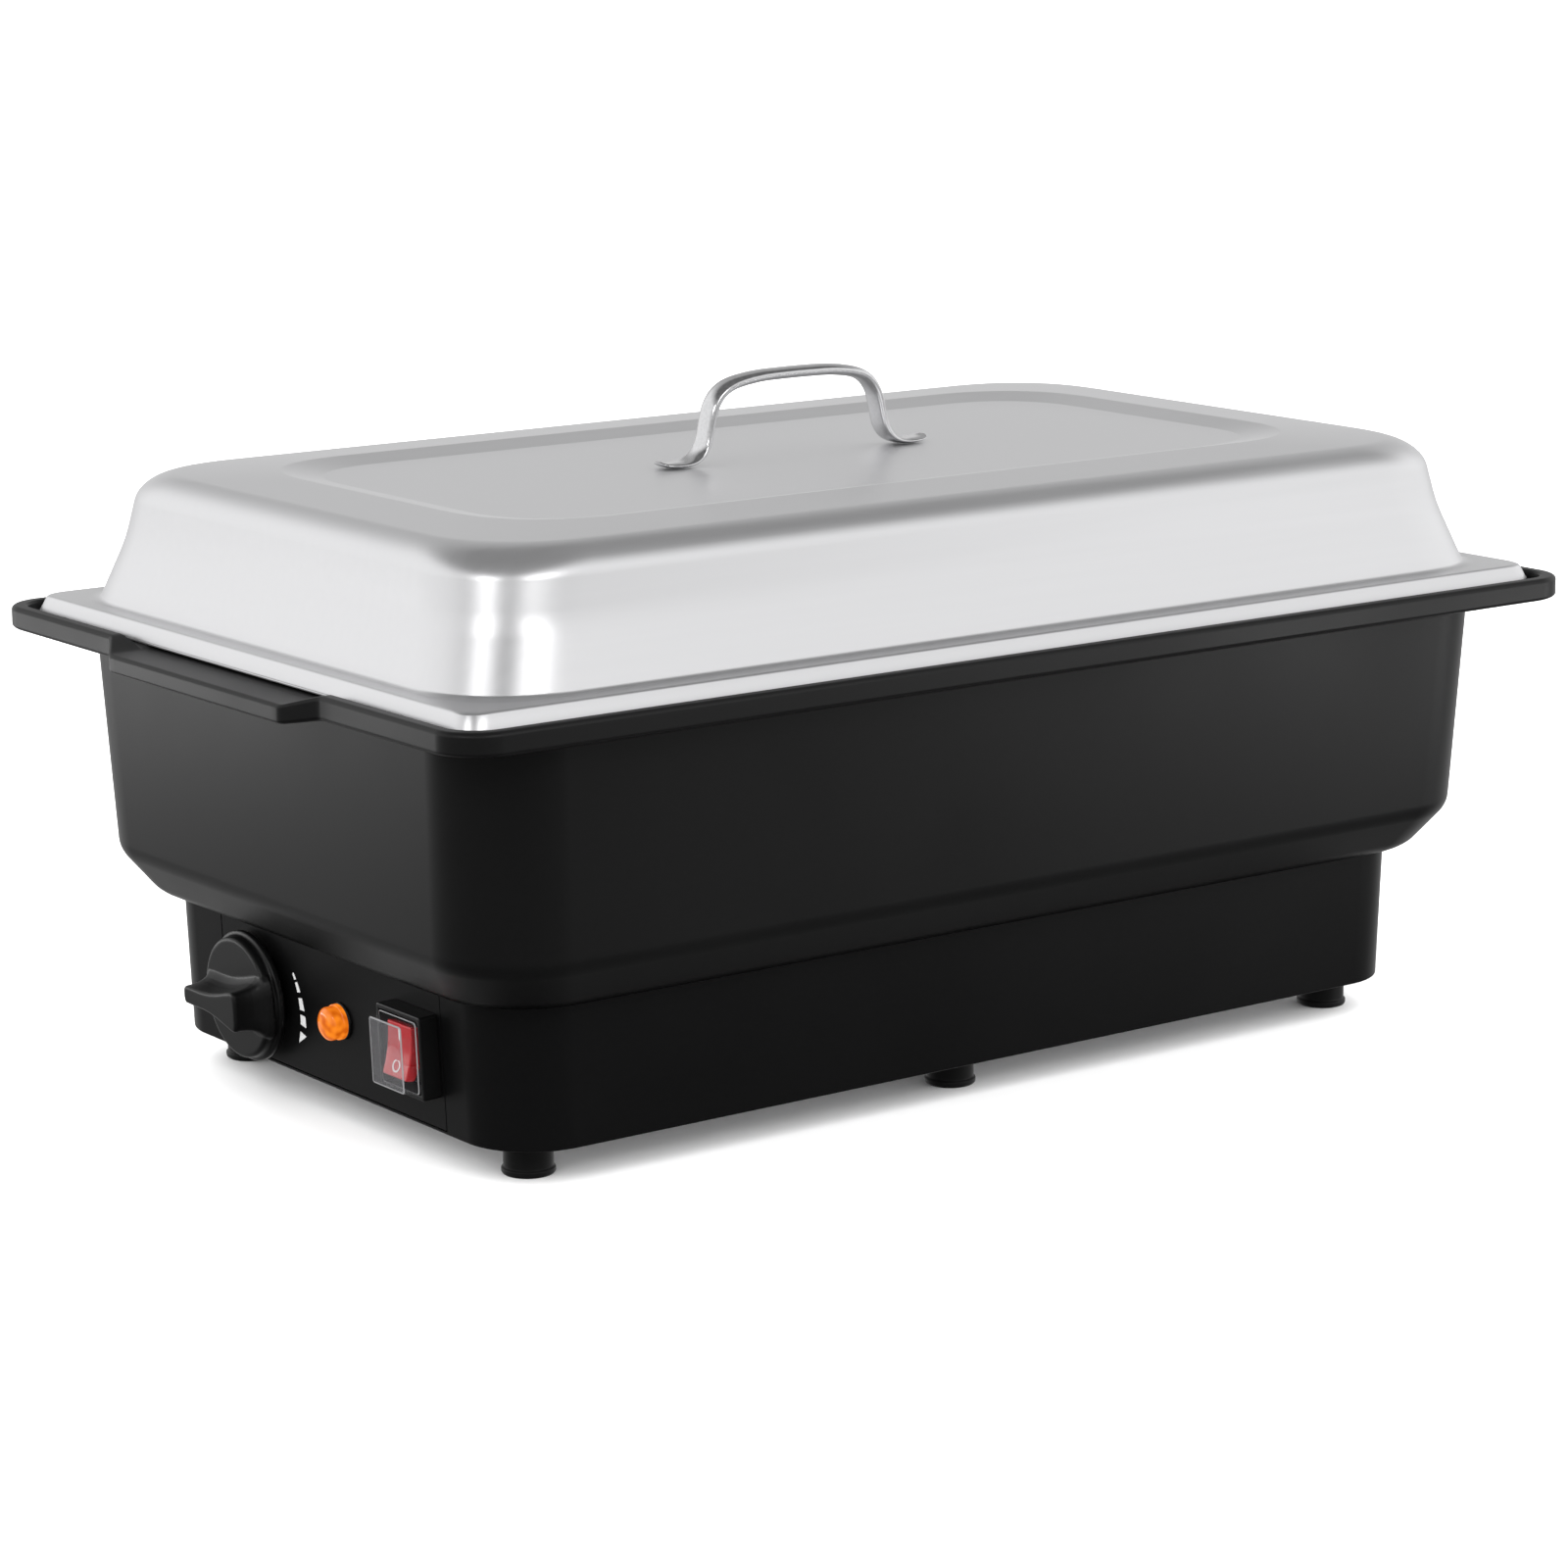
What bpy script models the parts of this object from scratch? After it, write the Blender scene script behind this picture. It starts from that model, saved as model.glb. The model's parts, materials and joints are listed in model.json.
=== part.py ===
"""Steam table unit: an electric chafing dish with tub, base, food pan, domed lid and controls.

World frame in metres: +X along the length with the control panel at the -X end, +Z up,
z = 0 under the feet. The helpers take millimetres.
"""
import math

import bmesh
import bpy
from mathutils import Vector

MM = 0.001
GAP = 0.3

# Overall shells, half sizes in X and Y
LID_HALF = (265.0, 162.5)
PAN_RIM_HALF = (267.2, 164.7)
TUB_RIM_HALF = (277.3, 177.4)
BASE_HALF_LOW = (229.5, 130.5)
BASE_HALF_TOP = (231.9, 130.9)

# Heights
FOOT_H = 14.4
TUB_UNDER_Z = 71.5
TUB_FLOOR_Z = 75.5
LEDGE_Z = 186.0
TUB_LIP_Z = 189.6
PAN_RIM_Z = 187.3
SHEET = 0.9
LID_SKIRT_Z = 187.6
LID_FLANGE_Z = 193.8
LID_CROWN_Z = 248.0
LID_PANEL_Z = 245.5

# End grips
GRIP_X = 286.0
GRIP_HALF_Y = 65.0
GRIP_Z = (177.5, 185.0)

# Fixings and feet
FOOT_X = 205.0
FOOT_Y = 104.7
SCREW_R = 2.0
FOOT_SPOTS = {
    "front_left": (-FOOT_X, -FOOT_Y), "front_mid": (0.0, -FOOT_Y), "front_right": (FOOT_X, -FOOT_Y),
    "back_left": (-FOOT_X, FOOT_Y), "back_mid": (0.0, FOOT_Y), "back_right": (FOOT_X, FOOT_Y),
}

# Control panel: its face leans out with the skirt's draft
PANEL_ORIGIN = (-230.7, 0.0, 42.7)
PANEL_TILT = -math.atan2(BASE_HALF_TOP[0] - BASE_HALF_LOW[0], TUB_UNDER_Z - FOOT_H)
PANEL_Y = (-86.0, 79.0)
PANEL_Z = (-26.7, 28.2)
KNOB_YZ = (52.0, -0.7)
LAMP_YZ = (-12.5, 1.4)
SWITCH_YZ = (-68.2, 2.6)
ROCKER_HALF_ANGLE = math.radians(10.0)

# Heater under the tub floor
HEATER_HOLE = (100.0, 60.0)
HEATER_Z = 77.1
STUD_SPOTS = [(-88.0, -40.0), (-88.0, 40.0), (88.0, -40.0), (88.0, 40.0), (0.0, 0.0)]

for old in list(bpy.data.objects):
    bpy.data.objects.remove(old, do_unlink=True)


def material(name, color, metallic, rough, alpha=1.0, glow=0.0):
    mat = bpy.data.materials.new(name)
    mat.use_nodes = True
    shader = mat.node_tree.nodes["Principled BSDF"]
    shader.inputs["Base Color"].default_value = (*color, 1.0)
    shader.inputs["Metallic"].default_value = metallic
    shader.inputs["Roughness"].default_value = rough
    shader.inputs["Alpha"].default_value = alpha
    if glow:
        shader.inputs["Emission Color"].default_value = (*color, 1.0)
        shader.inputs["Emission Strength"].default_value = glow
    return mat


MATS = {
    "black_plastic": material("black_plastic", (0.018, 0.018, 0.019), 0.0, 0.45),
    "black_gloss": material("black_gloss", (0.012, 0.012, 0.013), 0.0, 0.25),
    "rubber": material("rubber", (0.02, 0.02, 0.02), 0.0, 0.8),
    "brushed_steel": material("brushed_steel", (0.62, 0.62, 0.63), 1.0, 0.3),
    "polished_steel": material("polished_steel", (0.75, 0.75, 0.76), 1.0, 0.08),
    "zinc_steel": material("zinc_steel", (0.55, 0.55, 0.56), 1.0, 0.4),
    "aluminium": material("aluminium", (0.7, 0.71, 0.72), 1.0, 0.35),
    "copper": material("copper", (0.72, 0.42, 0.28), 1.0, 0.3),
    "silicone": material("silicone", (0.5, 0.09, 0.06), 0.0, 0.6),
    "amber": material("amber", (1.0, 0.32, 0.03), 0.0, 0.15, glow=1.5),
    "red_plastic": material("red_plastic", (0.7, 0.03, 0.02), 0.0, 0.3),
    "clear": material("clear", (0.85, 0.85, 0.87), 0.0, 0.1, alpha=0.35),
    "cream_plastic": material("cream_plastic", (0.75, 0.72, 0.62), 0.0, 0.5),
    "wire_red": material("wire_red", (0.5, 0.03, 0.02), 0.0, 0.5),
    "wire_blue": material("wire_blue", (0.03, 0.08, 0.4), 0.0, 0.5),
}

panel_frame = bpy.data.objects.new("panel_frame", None)
panel_frame.location = Vector(PANEL_ORIGIN) * MM
panel_frame.rotation_euler = (0.0, PANEL_TILT, 0.0)
bpy.context.scene.collection.objects.link(panel_frame)


def finish(name, bm, mat=None, parent=None, at=(0.0, 0.0, 0.0), smooth=True):
    """Turn a bmesh in millimetres into an object whose origin is at `at`."""
    bmesh.ops.recalc_face_normals(bm, faces=bm.faces)
    for v in bm.verts:
        v.co = v.co * MM
    mesh = bpy.data.meshes.new(name)
    bm.to_mesh(mesh)
    bm.free()
    if smooth:
        for poly in mesh.polygons:
            poly.use_smooth = True
        mesh.set_sharp_from_angle(angle=math.radians(32.0))
    obj = bpy.data.objects.new(name, mesh)
    bpy.context.scene.collection.objects.link(obj)
    obj.location = Vector(at) * MM
    if parent:
        obj.parent = parent
    if mat:
        mesh.materials.append(MATS[mat])
    return obj


def add_loft(bm, rings, loop=False):
    rows = [[bm.verts.new(p) for p in ring] for ring in rings]
    count = len(rows[0])
    pairs = list(zip(rows, rows[1:]))
    if loop:
        pairs.append((rows[-1], rows[0]))
    for a, b in pairs:
        for i in range(count):
            j = (i + 1) % count
            bm.faces.new((a[i], a[j], b[j], b[i]))
    if not loop:
        bm.faces.new(rows[0])
        bm.faces.new(rows[-1])


def rounded_ring(hx, hy, r, z, steps=6):
    points = []
    corners = ((hx - r, hy - r), (r - hx, hy - r), (r - hx, r - hy), (hx - r, r - hy))
    for k, (cx, cy) in enumerate(corners):
        for i in range(steps + 1):
            a = math.pi / 2 * (k + i / steps)
            points.append((cx + r * math.cos(a), cy + r * math.sin(a), z))
    return points


def inset_rings(half, profile):
    """Rings from (inset, z, corner radius) rows."""
    return [rounded_ring(half[0] - i, half[1] - i, r, z) for i, z, r in profile]


def axis_point(axis, r, a, h):
    c, s = r * math.cos(a), r * math.sin(a)
    return {"Z": (c, s, h), "X": (h, c, s), "Y": (s, h, c)}[axis]


def add_lathe(bm, profile, axis="Z", centre=(0.0, 0.0, 0.0), seg=16, loop=False):
    """Revolve (radius, height) rows about an axis through `centre`."""
    c = Vector(centre)
    rings = []
    for r, h in profile:
        rings.append([c + Vector(axis_point(axis, r, 2 * math.pi * i / seg, h)) for i in range(seg)])
    add_loft(bm, rings, loop)


def add_box(bm, lo, hi):
    corners = [(lo[0], lo[1]), (hi[0], lo[1]), (hi[0], hi[1]), (lo[0], hi[1])]
    add_loft(bm, [[(x, y, z) for x, y in corners] for z in (lo[2], hi[2])])


def add_prism(bm, outline, lo, hi, axis="Z"):
    """Extrude an outline of the two other axes along `axis`."""
    rings = []
    for h in (lo, hi):
        if axis == "Z":
            rings.append([(a, b, h) for a, b in outline])
        elif axis == "X":
            rings.append([(h, a, b) for a, b in outline])
        else:
            rings.append([(a, h, b) for a, b in outline])
    add_loft(bm, rings)


def add_sweep(bm, path, radii, seg=8):
    """Round tube along a path with one radius per point."""
    pts = [Vector(p) for p in path]
    up = Vector((0.0, 0.0, 1.0))
    rings = []
    last = None
    for i, p in enumerate(pts):
        t = (pts[min(i + 1, len(pts) - 1)] - pts[max(i - 1, 0)]).normalized()
        side = t.cross(up)
        if side.length < 0.2:
            side = t.cross(Vector((0.0, 1.0, 0.0)))
        side.normalize()
        if last and side.dot(last) < 0:
            side = -side
        last = side
        nor = side.cross(t)
        ring = []
        for k in range(seg):
            a = 2 * math.pi * k / seg
            ring.append(p + radii[i] * (math.cos(a) * side + math.sin(a) * nor))
        rings.append(ring)
    add_loft(bm, rings)


def smooth_path(points, steps=4):
    """Catmull-Rom curve through the points."""
    pts = [Vector(p) for p in points]
    out = []
    for i in range(len(pts) - 1):
        p0, p1, p2 = pts[max(i - 1, 0)], pts[i], pts[i + 1]
        p3 = pts[min(i + 2, len(pts) - 1)]
        for k in range(steps):
            t = k / steps
            out.append(0.5 * (2 * p1 + (p2 - p0) * t + (2 * p0 - 5 * p1 + 4 * p2 - p3) * t * t
                              + (3 * p1 - p0 - 3 * p2 + p3) * t ** 3))
    out.append(pts[-1])
    return out


def lathe(name, mat, profile, axis="Z", centre=(0.0, 0.0, 0.0), seg=16, loop=False, **kw):
    bm = bmesh.new()
    add_lathe(bm, profile, axis, centre, seg, loop)
    return finish(name, bm, mat, **kw)


def nut(name, mat, corner, bore, lo, hi, axis="Z", sides=6, **kw):
    """Nut of `sides` flats with corner radius `corner` and a round bore, from `lo` to `hi`."""
    turns = [math.pi * i / sides for i in range(2 * sides)]
    reach = (corner, corner * math.cos(math.pi / sides))
    outer = [(reach[i % 2] * math.cos(a), reach[i % 2] * math.sin(a)) for i, a in enumerate(turns)]
    inner = [(bore * math.cos(a), bore * math.sin(a)) for a in turns]
    rings = []
    for outline, h in ((outer, lo), (outer, hi), (inner, hi), (inner, lo)):
        rings.append([{"Z": (a, b, h), "X": (h, a, b), "Y": (a, h, b)}[axis] for a, b in outline])
    bm = bmesh.new()
    add_loft(bm, rings, loop=True)
    return finish(name, bm, mat, smooth=False, **kw)


def combine(obj, tool_bm, operation):
    """Boolean `obj` with a hidden tool object in the same parent space."""
    tool = finish(obj.name + "_" + operation.lower(), tool_bm, None, obj.parent, smooth=False)
    tool.location = obj.location
    for v in tool.data.vertices:
        v.co -= obj.location
    tool.hide_render = True
    tool.display_type = "WIRE"
    mod = obj.modifiers.new(operation.lower(), "BOOLEAN")
    mod.operation = operation
    mod.solver = "EXACT"
    mod.object = tool


# ---------------------------------------------------------------- tub housing
bm = bmesh.new()
TUB_OUTER = [
    (40.9, TUB_UNDER_Z, 34), (37.2, 73.0, 35), (34.4, 76.5, 36), (30.8, 81.0, 37), (27.7, 85.0, 38),
    (25.2, 89.0, 38), (24.4, 93.0, 38), (23.3, 107.0, 38), (22.2, 130.0, 38), (21.2, 152.0, 38),
    (20.5, 171.0, 38), (20.2, 175.4, 37), (18.6, 178.8, 35), (15.5, 180.2, 32), (1.8, 180.2, 19),
    (0.4, 180.9, 18), (0.0, 182.4, 18), (0.0, 187.7, 18), (0.6, 189.1, 18), (2.0, TUB_LIP_Z, 17),
]
TUB_INNER = [
    (4.6, TUB_LIP_Z, 15), (5.7, 189.1, 14), (6.2, 187.9, 14), (6.3, LEDGE_Z, 14), (21.8, LEDGE_Z, 34),
    (23.2, 185.0, 35), (24.0, 182.0, 35), (24.3, 171.0, 35), (25.1, 150.0, 35), (27.0, 100.0, 34),
    (28.4, 90.0, 34), (31.5, 83.0, 33), (36.5, 78.2, 31), (44.0, TUB_FLOOR_Z, 28),
]
rings = [rounded_ring(HEATER_HOLE[0], HEATER_HOLE[1], 12.0, TUB_UNDER_Z)]
rings += inset_rings(TUB_RIM_HALF, TUB_OUTER + TUB_INNER)
rings.append(rounded_ring(HEATER_HOLE[0], HEATER_HOLE[1], 12.0, TUB_FLOOR_Z))
add_loft(bm, rings, loop=True)
tub = finish("tub_housing", bm, "black_plastic")

# Grip shelves at both ends and screw posts under the floor
bm = bmesh.new()
for s in (-1, 1):
    plan = [(271.0, -80.0), (277.0, -80.0), (GRIP_X, -GRIP_HALF_Y), (GRIP_X, GRIP_HALF_Y), (277.0, 80.0),
            (271.0, 80.0)]
    add_prism(bm, [(s * x, y) for x, y in plan], GRIP_Z[0], 187.5)
for x, y in FOOT_SPOTS.values():
    add_lathe(bm, [(5.5, 58.3), (5.5, 73.5)], centre=(x, y, 0.0), seg=12)
combine(tub, bm, "UNION")

# Lip lowered over each grip, and blind screw holes
bm = bmesh.new()
for s in (-1, 1):
    notch = [(-GRIP_HALF_Y, GRIP_Z[1]), (GRIP_HALF_Y, GRIP_Z[1]), (86.8, 193.0), (-86.8, 193.0)]
    add_prism(bm, notch, s * 262.0, s * 295.0, "X")
for x, y in FOOT_SPOTS.values():
    add_lathe(bm, [(2.6, 50.0), (2.6, 69.5)], centre=(x, y, 0.0), seg=12)
combine(tub, bm, "DIFFERENCE")

# --------------------------------------------------------------- base housing
bm = bmesh.new()
TOP_Z = TUB_UNDER_Z - GAP
WALL = 3.0
rings = []
for inset in (0.0, WALL):
    low = rounded_ring(BASE_HALF_LOW[0] - inset, BASE_HALF_LOW[1] - inset, 30.0 - inset, FOOT_H)
    top = rounded_ring(BASE_HALF_TOP[0] - inset, BASE_HALF_TOP[1] - inset, 31.0 - inset, TOP_Z)
    rings += [low, top] if inset == 0.0 else [top, low]
add_loft(bm, rings, loop=True)
base = finish("base_housing", bm, "black_plastic")

# Six screw columns, each tied to the long wall by a rib
bm = bmesh.new()
for x, y in FOOT_SPOTS.values():
    s = 1 if y > 0 else -1
    half = math.asin(1.5 / 6.0)
    outline = [(x - 1.5 * s, s * 129.0), (x + 1.5 * s, s * 129.0)]
    for i in range(13):
        a = s * math.pi / 2 - half - (2 * math.pi - 2 * half) * i / 12
        outline.append((x + 6.0 * math.cos(a), y + 6.0 * math.sin(a)))
    add_prism(bm, outline, 17.0, 58.0)
combine(base, bm, "UNION")

bm = bmesh.new()
for x, y in FOOT_SPOTS.values():
    add_lathe(bm, [(2.6, 10.0), (2.6, 65.0)], centre=(x, y, 0.0), seg=12)
add_box(bm, (-240.0, PANEL_Y[0] - 0.4, 15.6), (-215.0, PANEL_Y[1] + 0.4, 80.0))
GLAND = (-170.0, 130.7, 40.0)
add_lathe(bm, [(6.4, 110.0), (6.4, 140.0)], axis="Y", centre=(GLAND[0], 0.0, GLAND[2]), seg=16)
combine(base, bm, "DIFFERENCE")

# --------------------------------------------------------------- bottom cover
bm = bmesh.new()
add_loft(bm, [rounded_ring(226.2, 126.3, 26.0, z) for z in (14.7, 16.7)])
cover = finish("bottom_cover", bm, "zinc_steel")
bm = bmesh.new()
for x, y in FOOT_SPOTS.values():
    add_lathe(bm, [(2.6, 10.0), (2.6, 20.0)], centre=(x, y, 0.0), seg=12)
for sx in (-1, 1):
    for k in range(5):
        y = -40.0 + 20.0 * k
        add_box(bm, (sx * 120.0 - 20.0, y - 2.2, 10.0), (sx * 120.0 + 20.0, y + 2.2, 20.0))
combine(cover, bm, "DIFFERENCE")

# ----------------------------------------------------------- feet and screws
for tag, (x, y) in FOOT_SPOTS.items():
    lathe("foot_" + tag, "rubber",
          [(9.7, 0.0), (10.5, 1.0), (10.5, 3.4), (9.8, 4.6), (9.8, FOOT_H), (2.6, FOOT_H), (2.6, 7.5),
           (5.4, 7.5), (5.4, 0.0)],
          at=(x, y, 0.0), loop=True)
    lathe("screw_" + tag, "zinc_steel",
          [(3.2, 4.0), (4.6, 5.0), (4.6, 7.2), (SCREW_R, 7.2), (SCREW_R, 67.0), (1.2, 68.5)],
          at=(x, y, 0.0), seg=12)

# --------------------------------------------------------------------- heater
bm = bmesh.new()
add_loft(bm, [rounded_ring(118.0, 78.0, 14.0, HEATER_Z), rounded_ring(118.0, 78.0, 14.0, 79.6),
              rounded_ring(117.5, 77.5, 13.5, 80.1)])
plate = finish("heater_plate", bm, "aluminium")
bm = bmesh.new()
for x, y in STUD_SPOTS:
    add_lathe(bm, [(2.5, 60.5), (2.5, 78.5)], centre=(x, y, 0.0), seg=10)
combine(plate, bm, "UNION")

bm = bmesh.new()
add_loft(bm, [rounded_ring(116.0, 76.0, 13.0, 75.8), rounded_ring(116.0, 76.0, 13.0, 76.8),
              rounded_ring(102.0, 62.0, 12.0, 76.8), rounded_ring(102.0, 62.0, 12.0, 75.8)], loop=True)
finish("heater_gasket", bm, "silicone")

for tag, sx in (("left", -1), ("right", 1)):
    bm = bmesh.new()
    add_box(bm, (sx * 88.0 - 7.0, -72.0, 68.0), (sx * 88.0 + 7.0, 72.0, 71.2))
    bar = finish("clamp_bar_" + tag, bm, "zinc_steel", smooth=False)
    bm = bmesh.new()
    for y in (-40.0, 40.0):
        add_lathe(bm, [(2.9, 60.0), (2.9, 75.0)], centre=(sx * 88.0, y, 0.0), seg=10)
    combine(bar, bm, "DIFFERENCE")

for k, (x, y) in enumerate(STUD_SPOTS):
    low = 63.2 if k < 4 else 62.8
    nut("heater_nut_%d" % (k + 1), "zinc_steel", 4.7, 2.9, low, low + 4.4, at=(x, y, 0.0))

# Hairpin element pressed to the plate, tails turned down for the leads
ROD_R = 3.2
ROD_Z = HEATER_Z - GAP - ROD_R
LEG_Y = 24.0
half_path = [(-72.0, LEG_Y, 57.5), (-72.0, LEG_Y, 63.0), (-71.6, LEG_Y, 65.0), (-70.6, LEG_Y, 68.4),
             (-66.0, LEG_Y, 72.2), (-60.0, LEG_Y, ROD_Z), (50.0, LEG_Y, ROD_Z)]
bend = [(50.0 + LEG_Y * math.sin(a), LEG_Y * math.cos(a), ROD_Z)
        for a in [math.pi * i / 10 for i in range(1, 10)]]
path = half_path + bend + [(x, -y, z) for x, y, z in reversed(half_path)]
radii = [1.5, 1.5, ROD_R] + [ROD_R] * (len(path) - 6) + [ROD_R, 1.5, 1.5]
bm = bmesh.new()
add_sweep(bm, path, radii, seg=10)
finish("heating_element", bm, "zinc_steel")

bm = bmesh.new()
add_box(bm, (-6.0, -34.0, 67.5), (6.0, 34.0, 70.0))
strap = finish("element_strap", bm, "zinc_steel", smooth=False)
bm = bmesh.new()
add_lathe(bm, [(2.9, 60.0), (2.9, 75.0)], seg=10)
combine(strap, bm, "DIFFERENCE")

lathe("thermal_cutout", "cream_plastic",
      [(6.5, 65.0), (7.0, 65.5), (7.0, 71.5), (8.5, 71.5), (8.5, 76.8)], at=(34.0, 0.0, 0.0), seg=16)

# Sensor bulb in a clip, with the capillary running to the thermostat
BULB_Y = 44.0
BULB_Z = HEATER_Z - GAP - 3.0
lathe("sensor_bulb", "copper",
      [(1.2, -50.0), (2.6, -48.6), (3.0, -46.0), (3.0, 7.0), (2.4, 9.4), (1.0, 10.5)],
      axis="X", at=(0.0, BULB_Y, BULB_Z), seg=10)
clip = [(-6.0, -5.0), (6.0, -5.0), (6.0, 3.0), (3.5, 3.0), (3.5, 0.0), (2.5, -2.5), (0.0, -3.5),
        (-2.5, -2.5), (-3.5, 0.0), (-3.5, 3.0), (-6.0, 3.0)]
bm = bmesh.new()
add_prism(bm, clip, -4.0, 4.0, "X")
finish("bulb_clip", bm, "zinc_steel", at=(-20.0, BULB_Y, BULB_Z), smooth=False)
bm = bmesh.new()
path = smooth_path([(-50.8, 44.0, BULB_Z), (-62.0, 44.5, 73.0), (-73.0, 46.5, 66.0), (-84.0, 48.5, 58.5),
                    (-110.0, 52.0, 51.0), (-150.0, 54.0, 46.0), (-178.0, 53.0, 43.5),
                    (-199.0, 52.0, 42.8)], 3)
add_sweep(bm, path, [0.9] * len(path), seg=6)
finish("capillary_tube", bm, "copper")

# -------------------------------------------------------------- control panel
bm = bmesh.new()
add_box(bm, (0.0, PANEL_Y[0], PANEL_Z[0]), (3.0, PANEL_Y[1], PANEL_Z[1]))
panel = finish("control_panel", bm, "black_plastic", panel_frame, smooth=False)
bm = bmesh.new()
for edge, s in ((PANEL_Y[0], -1), (PANEL_Y[1], 1)):
    y0, y1, y2 = edge - 5.0 * s, edge, edge + 6.0 * s
    tab = [(2.5, y0), (5.4, y0), (5.4, y2), (3.4, y2), (3.4, y1 - 0.2 * s), (2.5, y1 - 0.2 * s)]
    add_prism(bm, tab, -22.0, 22.0)
combine(panel, bm, "UNION")
bm = bmesh.new()
add_lathe(bm, [(4.9, -5.0), (4.9, 8.0)], "X", (0.0, *KNOB_YZ), 16)
add_lathe(bm, [(5.8, -5.0), (5.8, 8.0)], "X", (0.0, *LAMP_YZ), 16)
SY, SZ = SWITCH_YZ
add_box(bm, (-5.0, SY - 11.6, SZ - 14.1), (8.0, SY + 11.6, SZ + 14.1))
combine(panel, bm, "DIFFERENCE")

# ----------------------------------------------------- thermostat, knob, dial
bm = bmesh.new()
KY, KZ = KNOB_YZ
box_rows = [(3.4, 1.5), (5.0, 0.0), (28.5, 0.0), (30.5, 1.5)]
add_loft(bm, [[(x, KY + sy * (17.0 - c), KZ + sz * (15.0 - c))
               for sy, sz in ((-1, -1), (1, -1), (1, 1), (-1, 1))] for x, c in box_rows])
stat = finish("thermostat_body", bm, "cream_plastic", panel_frame, smooth=False)
bm = bmesh.new()
add_lathe(bm, [(4.5, -4.4), (4.5, 6.0)], "X", (0.0, KY, KZ), 16)
combine(stat, bm, "UNION")
bm = bmesh.new()
add_lathe(bm, [(3.4, -8.0), (3.4, 19.0)], "X", (0.0, KY, KZ), 16)
combine(stat, bm, "DIFFERENCE")

nut("thermostat_nut", "zinc_steel", 7.0, 4.9, -3.6, -0.4, axis="X", parent=panel_frame, at=(0.0, KY, KZ))

knob_axis = bpy.data.objects.new("knob_axis", None)
knob_axis.location = Vector((0.0, KY, KZ)) * MM
knob_axis.parent = panel_frame
bpy.context.scene.collection.objects.link(knob_axis)

lathe("thermostat_shaft", "zinc_steel", [(2.6, -9.2), (3.0, -8.8), (3.0, 18.0), (2.6, 18.5)],
      axis="X", parent=knob_axis, seg=14)
lathe("knob_collar", "black_gloss",
      [(9.0, -0.3), (13.0, -0.3), (13.0, -2.0), (12.2, -2.8), (9.0, -2.8)],
      axis="X", centre=(0.0, KY, KZ), parent=panel_frame, seg=24, loop=True)

# Skirt disc standing off the panel, with two raised lobes that the wing parts
knob = lathe("thermostat_knob", "black_gloss",
             [(3.3, -9.6), (3.3, -6.4), (8.4, -6.4), (8.4, -3.4), (26.3, -3.4), (26.75, -4.0),
              (26.75, -5.6), (26.3, -6.1), (25.2, -6.3), (24.9, -9.0), (24.0, -10.2), (22.6, -10.6),
              (3.0, -10.6)],
             axis="X", parent=knob_axis, seg=40)

# Pointer wing across the knob: thick at the pointing end, slim at the other, waisted between
WING_HALF = 20.5
WING_T = (8.2, 3.7)


def wing_outline(grow):
    out = []
    left, right = WING_T[0] + grow, WING_T[1] + grow
    for i in range(7):
        a = -math.pi / 2 - math.pi * i / 6
        out.append((-WING_HALF + 5.0 + (5.0 + grow) * math.cos(a), left * math.sin(a)))
    for i in range(1, 6):
        t = i / 6
        y = -WING_HALF + 5.0 + t * (2 * WING_HALF - 8.0)
        out.append((y, left + (right - left) * t - 1.6 * math.sin(math.pi * t)))
    for i in range(7):
        a = math.pi / 2 - math.pi * i / 6
        out.append((WING_HALF - 3.0 + (3.0 + grow * 0.5) * math.cos(a), right * math.sin(a)))
    for i in range(5, 0, -1):
        t = i / 6
        y = -WING_HALF + 5.0 + t * (2 * WING_HALF - 8.0)
        out.append((y, -(left + (right - left) * t - 1.6 * math.sin(math.pi * t))))
    return out


bm = bmesh.new()
rows = [(-9.9, 2.0), (-11.5, 1.5), (-15.0, 0.5), (-19.0, 0.0), (-21.8, 0.0), (-22.8, -0.5), (-23.2, -1.2)]
add_loft(bm, [[(x, a, b) for a, b in wing_outline(g)] for x, g in rows])
combine(knob, bm, "UNION")

# ------------------------------------------------------------- indicator lamp
LY, LZ = LAMP_YZ
lathe("indicator_body", "black_gloss",
      [(0.5, -1.7), (7.2, -1.7), (7.6, -1.3), (7.6, -0.3), (5.4, -0.3), (5.4, 22.0)],
      axis="X", centre=(0.0, LY, LZ), parent=panel_frame, seg=24)
lathe("indicator_lens", "amber",
      [(6.6, -2.0), (7.0, -2.4), (6.9, -5.6), (6.4, -7.0), (5.2, -8.0), (3.2, -8.7), (1.0, -9.0)],
      axis="X", centre=(0.0, LY, LZ), parent=panel_frame, seg=24)
nut("indicator_nut", "zinc_steel", 9.0, 5.8, 3.3, 7.0, axis="X", parent=panel_frame, at=(0.0, LY, LZ))



# --------------------------------------------------------------- rocker switch
def switch_ring(hy, hz, r, x):
    return [(x, SY + a, SZ + b) for a, b, _ in rounded_ring(hy, hz, r, 0.0, 3)]


bm = bmesh.new()
add_loft(bm, [switch_ring(15.7, 16.6, 1.4, -0.3), switch_ring(15.7, 16.6, 1.4, -7.6),
              switch_ring(15.3, 16.2, 1.2, -8.0), switch_ring(13.7, 14.6, 0.8, -8.0),
              switch_ring(13.7, 14.6, 0.8, -0.3)], loop=True)
finish("switch_frame", bm, "black_gloss", panel_frame)

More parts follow.
